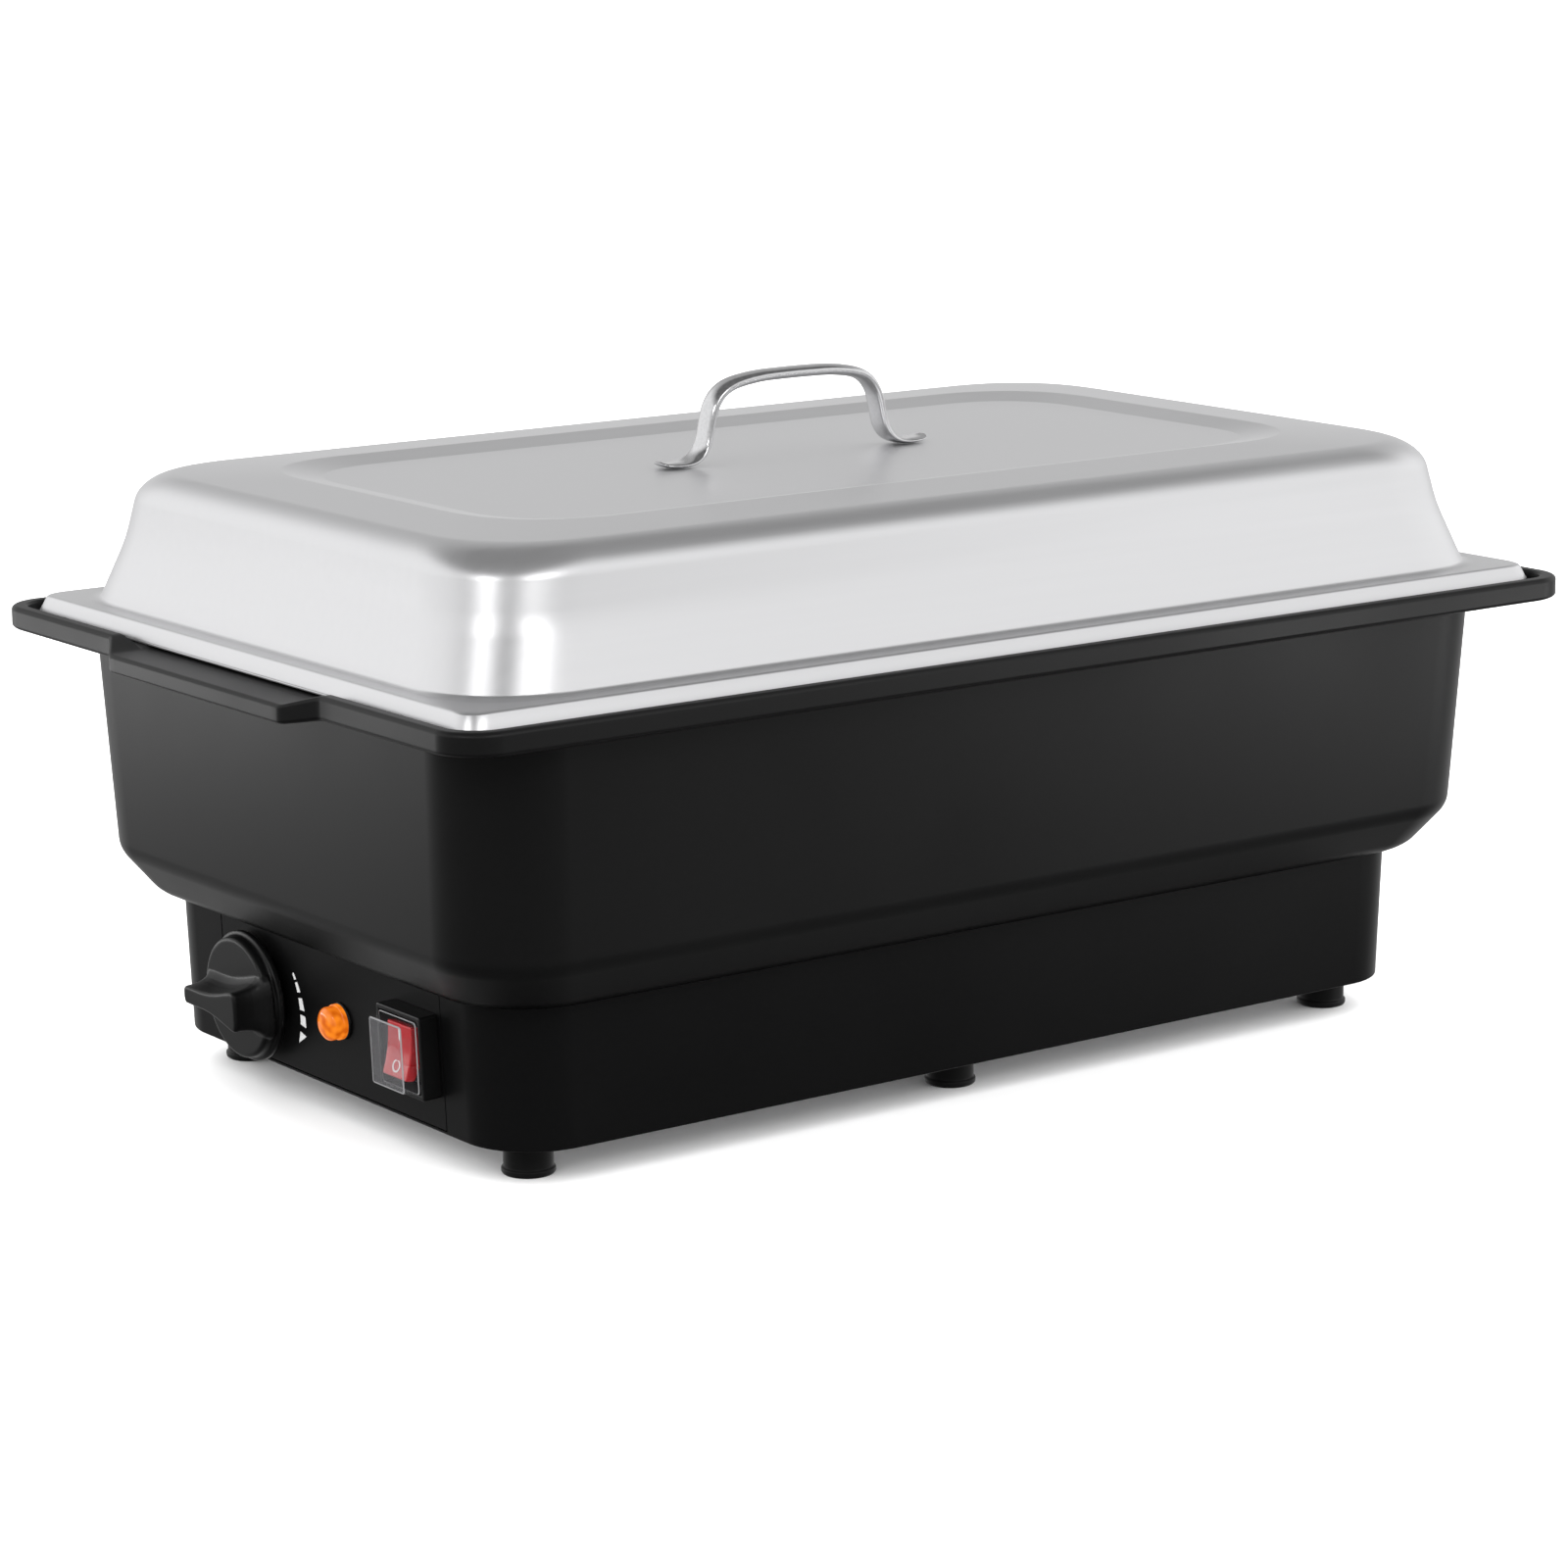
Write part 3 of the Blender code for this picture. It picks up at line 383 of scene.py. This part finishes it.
def make_handle():
    """Bow of flat pads turning up into an oval strap, over (x, z, width, thickness) stations."""
    side = [
        (68.0, 248.5, 4.0, 1.0), (67.4, 247.9, 7.6, 1.4), (65.4, 247.2, 10.8, 1.8),
        (61.0, 246.9, 12.4, 2.1), (56.0, 247.0, 12.6, 2.3), (51.6, 248.0, 12.0, 2.8),
        (48.2, 250.4, 11.3, 3.3), (45.8, 254.2, 10.8, 3.8), (44.4, 259.0, 10.4, 4.0),
        (43.2, 264.5, 10.4, 4.2), (41.2, 270.0, 10.4, 4.4), (37.2, 274.8, 10.6, 4.6),
        (30.5, 277.9, 10.8, 4.8), (19.0, 279.7, 11.0, 4.8), (7.0, 280.1, 11.0, 4.8),
    ]
    stations = [Vector(s) for s in side + [(-x, z, w, t) for x, z, w, t in reversed(side)]]
    path = []
    for i in range(len(stations) - 1):
        p0, p1, p2 = stations[max(i - 1, 0)], stations[i], stations[i + 1]
        p3 = stations[min(i + 2, len(stations) - 1)]
        for k in range(4):
            t = k / 4
            path.append(0.5 * (2 * p1 + (p2 - p0) * t + (2 * p0 - 5 * p1 + 4 * p2 - p3) * t * t
                               + (3 * p1 - p0 - 3 * p2 + p3) * t ** 3))
    path.append(stations[-1])
    rings = []
    for i, (x, z, width, thick) in enumerate(path):
        a, b = path[max(i - 1, 0)], path[min(i + 1, len(path) - 1)]
        tangent = Vector((b[0] - a[0], 0.0, b[1] - a[1])).normalized()
        normal = Vector((-tangent.z, 0.0, tangent.x))
        ring = []
        for k in range(32):
            c, s = math.cos(2 * math.pi * k / 32), math.sin(2 * math.pi * k / 32)
            flat = [math.copysign(abs(v) ** 0.8, v) for v in (c, s)]
            ring.append(Vector((x, width / 2 * flat[0], z)) + normal * (thick / 2 * flat[1]))
        rings.append(ring)
    bm = bmesh.new()
    add_loft(bm, rings)
    finish_piece("handle_bow", bm, "lid", "polished_steel", "lid_handle", sharp=60.0,
                 weighted=False)
    for tag, s in (("left", -1), ("right", 1)):
        bm = bmesh.new()
        add_lathe(bm, [(2.4, 238.4, 0), (2.4, 246.4, 0)], "Z", (s * 58.0, 0.0, 0.0), 20)
        finish_piece("handle_stud_" + tag, bm, "lid", "zinc_steel", weighted=False)


# ------------------------------------------------------------- pan, tub, base

def make_pan():
    rows = [
        (0.0, 186.4, 13, 0), (0.6, 187.3, 13, 0.4), (17.2, 187.3, 42, 2.6), (19.4, 170.2, 40, 1.5),
        (21.4, 168.0, 39, 2.0), (28.2, 123.2, 32, 9.0), (60.0, 123.2, 20, 0),
    ]
    bm = bmesh.new()
    add_loft(bm, shell_rings(PAN_HALF, rows), caps=(False, True))
    thicken(finish_piece("pan_shell", bm, "pan", "brushed_steel", "food_pan"))


GRIP_Y = (65.0, 80.0)
GRIP_OUT = 8.7
GRIP_DROP = 2.7
GRIP_TOP = 185.0
RIM_UNDER, RIM_TOP = 180.2, 189.6


def ramp(value, high, low):
    """1 below `high`, 0 above `low`, with softened ends."""
    return sum(min(1.0, max(0.0, (low - value - d) / (low - high))) for d in (-1.5, 0.0, 1.5)) / 3


def shape_grip(p, inset):
    """Push the end rim out into a grip and lower its top so that fingers reach over it."""
    if inset > 6.4 or p.z < RIM_UNDER - 0.01 or abs(p.y) > 100.0 or abs(p.x) < 262.0:
        return p
    out = ramp(abs(p.y), *GRIP_Y)
    top = RIM_TOP - (RIM_TOP - GRIP_TOP) * ramp(abs(p.y), *GRIP_Y)
    low = RIM_UNDER - GRIP_DROP * out
    if inset > 4.0 and p.z > RIM_UNDER + 0.1:
        return Vector((p.x, p.y, min(p.z, top)))
    z = low + (p.z - RIM_UNDER) / (RIM_TOP - RIM_UNDER) * (top - low)
    shift = out * GRIP_OUT if inset < 4.0 else 0.0
    return Vector((p.x + math.copysign(shift, p.x), p.y, z))


def make_tub():
    outer = [
        (60.0, 71.5, 30, 0), (38.3, 71.5, 34, 12), (24.6, 90.5, 38, 13), (20.2, RIM_UNDER, 38, 5.5),
        (6.35, RIM_UNDER, 24, 0), (6.3, RIM_UNDER, 24, 0), (0.0, RIM_UNDER, 18, 1.8),
        (0.0, RIM_TOP, 18, 1.9), (6.0, RIM_TOP, 14, 1.3), (6.3, 186.0, 14, 0),
        (22.5, 186.0, 34, 2), (27.5, 91.0, 34, 6), (39.5, 75.5, 31, 4), (60.0, 75.5, 24, 0),
    ]
    cuts = (30.0, 60.0, 63.5, 65.0, 66.5, 70.0, 75.0, 78.5, 80.0, 81.5, 90.0)
    rings = [rounded_ring(100.0, 60.0, 12.0, 71.5, end_cuts=cuts)]
    for p in filleted(outer):
        ring = rounded_ring(TUB_HALF[0] - p.x, TUB_HALF[1] - p.x, p.z, p.y, end_cuts=cuts)
        rings.append([shape_grip(v, p.x) for v in ring])
    rings.append(rounded_ring(100.0, 60.0, 12.0, 75.5, end_cuts=cuts))
    bm = bmesh.new()
    add_loft(bm, rings, loop=True)
    finish_piece("tub_shell", bm, "body", "black_plastic", "tub_housing")


def make_base():
    low_z, top_z, wall, edge = 14.4, 71.2, 3.0, 0.7

    def ring(inset, z):
        t = (z - low_z) / (top_z - low_z)
        hx = BASE_LOW[0] + (BASE_TOP[0] - BASE_LOW[0]) * t - inset
        hy = BASE_LOW[1] + (BASE_TOP[1] - BASE_LOW[1]) * t - inset
        return rounded_ring(hx, hy, 30.0 - inset, z)

    rows = filleted([(wall, low_z, 0, 0), (0.0, low_z, 0, edge), (0.0, top_z, 0, edge),
                     (wall, top_z, 0, 0)])
    bm = bmesh.new()
    add_loft(bm, [ring(p.x, p.y) for p in rows], loop=True)
    # The skirt takes the black with painted shade (weaker sheen)
    base = finish_piece("base_skirt", bm, "body", "black_plastic", "base_housing", mat=SHADED_BLACK)
    bm = bmesh.new()
    lo, hi = (-240.0, PANEL_Y[0] - 0.4, 15.6), (-215.0, PANEL_Y[1] + 0.4, 80.0)
    corners = [(lo[0], lo[1]), (hi[0], lo[1]), (hi[0], hi[1]), (lo[0], hi[1])]
    add_loft(bm, [[Vector((x, y, z)) for x, y in corners] for z in (lo[2], hi[2])])
    cut(base, bm)
    bm = bmesh.new()
    add_lathe(bm, [(6.4, 110.0, 0), (6.4, 140.0, 0)], "Y", (-170.0, 0.0, 40.0), 32)
    cut(base, bm)
    base.data.set_sharp_from_angle(angle=math.radians(SHARP_ANGLE))


def make_feet():
    profile = [
        (5.4, 0.0, 0.3), (9.9, 0.0, 0.9), (10.5, 0.9, 0.5), (10.5, 2.4, 0.5), (9.75, 3.1, 0.6),
        (9.8, 14.4, 0.0), (2.6, 14.4, 0.0), (2.6, 7.5, 0.0), (5.4, 7.5, 0.0),
    ]
    for name in sorted(n for n in NODES if n.startswith("foot_")):
        lo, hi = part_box(name)
        bm = bmesh.new()
        centre = ((lo.x + hi.x) / 2 / MM, (lo.y + hi.y) / 2 / MM, 0.0)
        add_lathe(bm, profile, "Z", centre, 40, loop=True)
        finish_piece(name + "_rubber", bm, "body", "rubber", name)


# ------------------------------------------------------------------- controls

def make_panel():
    bm = bmesh.new()
    centre = (sum(PANEL_Y) / 2, sum(PANEL_Z) / 2)
    hy, hz = (PANEL_Y[1] - PANEL_Y[0]) / 2, (PANEL_Z[1] - PANEL_Z[0]) / 2
    edge = 0.4
    rows = [(hy, hz, 0.6, 3.0), (hy, hz, 0.6, edge), (hy - 0.12, hz - 0.12, 0.6, 0.12),
            (hy - edge, hz - edge, 0.5, 0.0)]
    add_panel_shell(bm, centre, rows)
    # The panel takes the black with painted shade (weaker sheen)
    panel = finish_piece("panel_face", bm, "body", "black_plastic", "control_panel", matrix=PANEL,
                         mat=SHADED_BLACK)
    bm = bmesh.new()
    add_lathe(bm, [(4.9, -5.0, 0), (4.9, 8.0, 0)], "X", (0.0, *KNOB_YZ), 32)
    add_lathe(bm, [(5.8, -5.0, 0), (5.8, 8.0, 0)], "X", (0.0, *LAMP_YZ), 32)
    add_panel_shell(bm, SWITCH_YZ, [(11.6, 14.1, 0.5, -5.0), (11.6, 14.1, 0.5, 8.0)])
    bm.transform(Matrix.Scale(1 / MM, 4) @ PANEL @ Matrix.Scale(MM, 4))
    cut(panel, bm)
    panel.data.set_sharp_from_angle(angle=math.radians(SHARP_ANGLE))


def make_scale_marks():
    """Printed dashes round the knob that widen towards an arrowhead."""
    raised = (-0.15, 0.05)
    spans = [(26.5, 21.4), (19.4, 12.1), (8.1, -0.3), (-3.8, -11.0)]

    def point(angle, outer):
        t = (26.5 - angle) / 37.5
        r = 32.4 + 4.5 * t if outer else 31.3 + 1.4 * t
        a = math.radians(angle)
        return KNOB_YZ[0] - r * math.cos(a), KNOB_YZ[1] + r * math.sin(a)

    outlines = []
    for high, low in spans:
        steps = [high + (low - high) * i / 4 for i in range(5)]
        outlines.append([point(a, True) for a in steps]
                        + [point(a, False) for a in reversed(steps)])
    outlines.append([point(-16.5, True), point(-25.5, False), point(-16.5, False)])
    for k, outline in enumerate(outlines):
        bm = bmesh.new()
        add_loft(bm, [[Vector((x, y, z)) for y, z in outline] for x in raised])
        finish_piece("scale_mark_%d" % (k + 1), bm, "body", "black_plastic", matrix=PANEL,
                     weighted=False, mat=PRINT_WHITE)


WING_HALF = 20.5
WING_T = (8.2, 3.7)


def wing_outline(grow, steps=14):
    """Pointer wing seen from the front: thick at its -Y end, slim at the other, waisted between."""
    a, b = WING_T[0] + grow, WING_T[1] + grow
    start, length = -WING_HALF + 3.5, 2 * WING_HALF - 6.0
    rim = []
    for i in range(1, steps):
        t = i / steps
        rim.append((start + t * length, a + (b - a) * t - 1.7 * math.sin(math.pi * t) ** 1.3))
    left, right = [], []
    for i in range(steps + 1):
        turn = math.pi * i / steps
        c = abs(math.sin(turn)) ** 0.5
        s = math.copysign(abs(math.cos(turn)) ** 0.5, math.cos(turn))
        left.append((start - (3.5 + grow) * c, -a * s))
        right.append((start + length + (2.5 + grow * 0.5) * c, b * s))
    return left + rim + right + [(y, -z) for y, z in reversed(rim)]


def make_knob():
    at = (0.0, *KNOB_YZ)
    bm = bmesh.new()
    add_lathe(bm, [(3.2, -9.6, 0), (3.2, -6.4, 0), (8.4, -6.4, 0), (8.4, -3.4, 0),
                   (26.75, -3.4, 0.8), (26.75, -6.1, 0.7), (25.0, -6.3, 0.5), (24.7, -10.6, 1.6),
                   (2.0, -10.6, 0)], "X", at, 96)
    wing = [(-8.0, 5.5), (-10.6, 4.2), (-11.4, 2.9), (-12.8, 1.7), (-14.8, 0.8), (-17.5, 0.25),
            (-20.0, 0.0), (-22.2, 0.0), (-22.9, -0.3), (-23.2, -0.9)]
    add_loft(bm, [[Vector((x, KNOB_YZ[0] + y, KNOB_YZ[1] + z)) for y, z in wing_outline(grow)]
                  for x, grow in wing])
    knob = finish_piece("knob_grip", bm, "knob", "black_gloss", "thermostat_knob", matrix=PANEL,
                        weighted=False)
    remesh = knob.modifiers.new("fuse", "REMESH")
    remesh.mode = "VOXEL"
    remesh.voxel_size = 0.45 * MM
    remesh.use_smooth_shade = True
    soften = knob.modifiers.new("soften", "SMOOTH")
    soften.factor = 0.5
    soften.iterations = 4

    bm = bmesh.new()
    add_lathe(bm, [(9.0, -0.3, 0), (13.0, -0.3, 0.2), (13.0, -2.2, 0.8), (12.0, -2.8, 0.4),
                   (9.0, -2.8, 0)], "X", at, 64, loop=True)
    finish_piece("knob_seat", bm, "body", "black_gloss", "knob_collar", matrix=PANEL)


def make_lamp():
    at = (0.0, *LAMP_YZ)
    bm = bmesh.new()
    add_lathe(bm, [(6.5, -1.3, 0), (7.2, -1.3, 0.2), (7.2, -3.0, 0.4), (6.7, -3.2, 0.3),
                   (6.7, -6.8, 1.6), (4.8, -8.4, 3.0), (0.4, -9.0, 0)], "X", at, 48)
    lens = finish_piece("lamp_lens", bm, "body", "amber", "indicator_lens", matrix=PANEL,
                        sharp=60.0, weighted=False)
    lens.visible_glossy = False
    bm = bmesh.new()
    add_lathe(bm, [(0.5, -1.0, 0), (7.3, -1.0, 0.3), (7.6, -0.3, 0.1), (5.4, -0.3, 0),
                   (5.4, 22.0, 0)], "X", at, 48)
    finish_piece("lamp_holder", bm, "body", "black_gloss", "indicator_body", matrix=PANEL)


def make_switch_case():
    """Square bezel and the clear boot over it, with frosted edges where the plastic is thick."""
    bm = bmesh.new()
    bezel = [
        (15.7, 16.6, 1.2, -0.3), (15.7, 16.6, 1.2, -7.5), (15.55, 16.45, 1.1, -7.85),
        (15.2, 16.1, 1.0, -8.0), (14.0, 14.9, 0.8, -8.0), (13.75, 14.65, 0.7, -7.85),
        (13.7, 14.6, 0.6, -7.5), (13.7, 14.6, 0.6, -0.3),
    ]
    add_panel_shell(bm, SWITCH_YZ, bezel, loop=True)
    finish_piece("switch_bezel", bm, "body", "black_gloss", "switch_frame", matrix=PANEL)

    bm = bmesh.new()
    inner = [(10.6, 12.5, 0.8, -13.1), (12.2, 13.3, 0.9, -8.0), (12.5, 13.4, 0.9, -0.5)]
    outer = [
        (13.3, 14.2, 1.4, -0.5), (13.0, 14.1, 1.4, -8.0), (11.6, 13.5, 1.4, -13.4),
        (11.35, 13.25, 1.2, -13.8), (11.0, 12.9, 1.0, -13.9),
    ]
    add_panel_shell(bm, SWITCH_YZ, inner + outer)
    finish_piece("switch_cover", bm, "body", "clear", "switch_boot", matrix=PANEL)

    bm = bmesh.new()
    lip = [
        (11.25, 13.15, 1.2, -13.6), (11.4, 13.3, 1.2, -13.75), (11.2, 13.1, 1.1, -13.98),
        (10.75, 12.65, 0.9, -13.98),
    ]
    foot = [(13.1, 14.15, 1.4, -8.1), (13.25, 14.3, 1.4, -8.3), (12.95, 14.0, 1.4, -8.6)]
    add_panel_shell(bm, SWITCH_YZ, lip, loop=True)
    add_panel_shell(bm, SWITCH_YZ, foot, loop=True)
    finish_piece("switch_cover_rim", bm, "body", "clear", matrix=PANEL, mat=FROSTED)

    bm = bmesh.new()
    add_panel_shell(bm, SWITCH_YZ, [(10.7, 12.6, 0.9, -13.94), (10.7, 12.6, 0.9, -13.92)])
    finish_piece("switch_cover_window", bm, "body", "clear", matrix=PANEL, mat=WINDOW)


def make_rocker():
    """Dished key on the rocker's pin, with a raised ring and bar on its two halves."""
    seat = (Matrix.Translation(Vector(ROCKER_JOINT["pos_m"])) @ PANEL_TURN
            @ Matrix.Rotation(math.radians(10.0), 4, "Y"))
    face = [
        (-2.0, 10.5, 0), (-5.5, 10.5, 0.6), (-4.7, 5.0, 20), (-4.4, 0.0, 20), (-4.7, -5.0, 20),
        (-5.5, -10.5, 0.6), (-2.0, -10.5, 0), (0.4, -3.5, 0), (0.4, 3.5, 0),
    ]
    outline = filleted([(x, z, 0.0, f) for x, z, f in face])
    bm = bmesh.new()
    rows = []
    for y, shrink in ((-8.5, 0.4), (-8.1, 0.0), (8.1, 0.0), (8.5, 0.4)):
        rows.append([Vector((p.x + shrink, y, p.y * (1 - shrink / 10.5))) for p in outline])
    add_loft(bm, rows)
    finish_piece("rocker_key", bm, "rocker", "red_plastic", "switch_rocker", matrix=seat)

    low, high, lean = 0.3, -0.12, math.atan2(0.9, 5.6)
    for name, side in (("rocker_mark_off", -1), ("rocker_mark_on", 1)):
        bm = bmesh.new()
        if side < 0:
            add_lathe(bm, [(1.9, high, 0), (2.6, high, 0), (2.6, low, 0), (1.9, low, 0)],
                      "X", (0, 0, 0), 32, loop=True)
        else:
            add_panel_shell(bm, (0.0, 0.0), [(0.35, 2.6, 0.2, high), (0.35, 2.6, 0.2, low)])
        tip = (Matrix.Translation(Vector((-4.85, 0.0, side * 6.0)) * MM)
               @ Matrix.Rotation(-side * lean, 4, "Y"))
        finish_piece(name, bm, "rocker", "red_plastic", matrix=seat @ tip, weighted=False,
                     mat=PRINT_WHITE)


def make_gland():
    at = (-170.0, 130.7, 40.0)
    bm = bmesh.new()
    add_lathe(bm, [(4.2, -13.0, 0), (5.9, -13.0, 0.3), (5.9, 0.7, 0), (9.5, 0.7, 0.4),
                   (9.5, 4.4, 1.0), (7.4, 6.0, 0.8), (6.0, 20.6, 0.6), (4.2, 20.6, 0.3)],
              "Y", at, 40, loop=True)
    finish_piece("gland_relief", bm, "body", "black_plastic", "gland_body")


def dress_nodes():
    """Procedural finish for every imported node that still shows."""
    for part in frame["record"]["subparts"]:
        obj = NODES[part["node"]]
        obj.data.materials.clear()
        obj.data.materials.append(MATS[part["material_slot"]])


# ------------------------------------------------------- floor, lights, camera

# Camera direction and roll in degrees, its place in metres and its lens in millimetres
VIEW_AZ, VIEW_EL = -36.427, 12.133
VIEW_ROLL = math.radians(-0.346)
CAMERA_AT = (-1.12683, -1.51917, 0.51289)
LENS = 105.75
FLOOR_HALF = 12.0
LIGHT_TARGET = Vector((0.0, 0.0, 0.15))

# Surround seen in reflections, as (place, level) stops. The place is the cosine from the camera's
# azimuth for walls and ground, and the height of the direction for the part behind the object.
SURROUND_STRENGTH = 2.4
REFLECTION_GAIN = 1.25
WALL_LEVELS = ((-1.0, 0.85), (-0.5, 0.9), (-0.2, 0.86), (0.1, 0.86), (0.3, 0.8), (0.55, 0.6),
               (1.0, 0.42))
BACK_LEVELS = ((-1.0, 0.3), (-0.05, 0.4), (0.1, 0.56), (0.2, 0.59), (0.27, 0.44), (0.36, 0.34),
               (0.5, 0.25), (1.0, 0.2))
GROUND_LEVELS = ((-1.0, 0.8), (-0.5, 0.35), (-0.3, 0.12), (0.0, 0.06), (0.3, 0.03), (1.0, 0.015))
ROOF_LEVEL = 0.13


def direction(azimuth, elevation):
    """Unit vector from the object; azimuth 0 is the front (-Y), and 90 is +X."""
    a, e = math.radians(azimuth), math.radians(elevation)
    return Vector((math.sin(a) * math.cos(e), -math.cos(a) * math.cos(e), math.sin(e)))


def add_light(name, azimuth, elevation, distance, size, power):
    """Softbox that faces the object and stays out of the camera's sight."""
    data = bpy.data.lights.new(name, "AREA")
    data.shape = "RECTANGLE"
    data.size, data.size_y = size
    data.energy = power
    obj = bpy.data.objects.new(name, data)
    back = direction(azimuth, elevation)
    obj.location = LIGHT_TARGET + back * distance
    obj.rotation_euler = (-back).to_track_quat("-Z", "Y").to_euler()
    obj.visible_camera = False
    bpy.context.scene.collection.objects.link(obj)


def ramp_node(tree, value, low, high, stops):
    """Grey levels over a value, as (position in low..high, level) stops."""
    span = tree.nodes.new("ShaderNodeMapRange")
    span.inputs["From Min"].default_value = low
    span.inputs["From Max"].default_value = high
    tree.links.new(value, span.inputs["Value"])
    node = tree.nodes.new("ShaderNodeValToRGB")
    tree.links.new(span.outputs["Result"], node.inputs["Fac"])
    band = node.color_ramp
    while len(band.elements) < len(stops):
        band.elements.new(0.5)
    for element, (place, level) in zip(band.elements, stops):
        element.position = (place - low) / (high - low)
        element.color = (level, level, level, 1.0)
    return node.outputs["Color"]


def mix_colors(tree, factor, a, b):
    node = tree.nodes.new("ShaderNodeMix")
    node.data_type = "RGBA"
    tree.links.new(factor, node.inputs["Factor"])
    tree.links.new(a, node.inputs["A"])
    tree.links.new(b, node.inputs["B"])
    return node.outputs["Result"]


def make_world():
    """White surround for the floor; reflections see walls that darken towards the camera."""
    world = bpy.data.worlds.new("studio")
    bpy.context.scene.world = world
    world.use_nodes = True
    tree = world.node_tree
    coord = tree.nodes.new("ShaderNodeTexCoord")
    split = tree.nodes.new("ShaderNodeSeparateXYZ")
    tree.links.new(coord.outputs["Generated"], split.inputs["Vector"])
    front = tree.nodes.new("ShaderNodeVectorMath")
    front.operation = "DOT_PRODUCT"
    front.inputs[1].default_value = direction(VIEW_AZ, 0.0)
    tree.links.new(coord.outputs["Generated"], front.inputs[0])
    walls = ramp_node(tree, front.outputs["Value"], -1.0, 1.0, WALL_LEVELS)
    back = ramp_node(tree, split.outputs["Z"], -1.0, 1.0, BACK_LEVELS)
    behind = ramp_node(tree, front.outputs["Value"], -1.0, 1.0, ((-0.92, 1.0), (-0.6, 0.0)))
    walls = mix_colors(tree, behind, walls, back)
    ground = ramp_node(tree, front.outputs["Value"], -1.0, 1.0, GROUND_LEVELS)
    roof = ramp_node(tree, split.outputs["Z"], 0.0, 1.0, ((0.0, ROOF_LEVEL), (1.0, ROOF_LEVEL)))
    lower = ramp_node(tree, split.outputs["Z"], -1.0, 1.0, ((-0.2, 0.0), (0.02, 1.0)))
    upper = ramp_node(tree, split.outputs["Z"], -1.0, 1.0, ((0.5, 0.0), (0.74, 1.0)))
    tint = mix_colors(tree, upper, mix_colors(tree, lower, ground, walls), roof)
    sky = tree.nodes["Background"]
    tree.links.new(tint, sky.inputs["Color"])
    sky.inputs["Strength"].default_value = REFLECTION_GAIN
    white = tree.nodes.new("ShaderNodeBackground")
    white.inputs["Color"].default_value = (1.0, 1.0, 1.0, 1.0)
    white.inputs["Strength"].default_value = SURROUND_STRENGTH
    path = tree.nodes.new("ShaderNodeLightPath")
    mix = tree.nodes.new("ShaderNodeMixShader")
    tree.links.new(path.outputs["Is Glossy Ray"], mix.inputs["Fac"])
    tree.links.new(white.outputs["Background"], mix.inputs[1])
    tree.links.new(sky.outputs["Background"], mix.inputs[2])
    tree.links.new(mix.outputs["Shader"], tree.nodes["World Output"].inputs["Surface"])


def make_stage():
    bm = bmesh.new()
    bmesh.ops.create_grid(bm, x_segments=8, y_segments=8, size=FLOOR_HALF)
    mesh = bpy.data.meshes.new("floor")
    bm.to_mesh(mesh)
    bm.free()
    floor = bpy.data.objects.new("floor", mesh)
    floor.visible_glossy = False
    mesh.materials.append(FLOOR_WHITE)
    bpy.context.scene.collection.objects.link(floor)
    make_world()
    add_light("corner_left", -64.0, 28.0, 2.2, (0.85, 0.36), 4.6)
    add_light("corner_right", -4.0, 28.0, 2.2, (1.1, 0.36), 5.2)
    add_light("end_left", -135.0, -6.0, 0.85, (0.5, 0.11), 0.62)
    add_light("end_right", 47.0, -6.0, 0.85, (0.5, 0.11), 0.8)


def make_camera():
    data = bpy.data.cameras.new("camera")
    data.lens = LENS
    data.sensor_width = 36.0
    data.clip_start = 0.05
    data.clip_end = 50.0
    camera = bpy.data.objects.new("camera", data)
    back = direction(VIEW_AZ, VIEW_EL)
    right = (-back).cross(Vector((0.0, 0.0, 1.0))).normalized()
    up = right.cross(-back)
    rolled = right * math.cos(VIEW_ROLL) + up * math.sin(VIEW_ROLL)
    up = up * math.cos(VIEW_ROLL) - right * math.sin(VIEW_ROLL)
    turn = Matrix((rolled, up, back)).transposed()
    camera.matrix_world = Matrix.Translation(CAMERA_AT) @ turn.to_4x4()
    bpy.context.scene.collection.objects.link(camera)
    bpy.context.scene.camera = camera
    bpy.context.scene.view_settings.view_transform = "Standard"


make_lid()
make_handle()
make_pan()
make_tub()
make_base()
make_feet()
make_panel()
make_scale_marks()
make_knob()
make_lamp()
make_switch_case()
make_rocker()
make_gland()
dress_nodes()
make_stage()
make_camera()
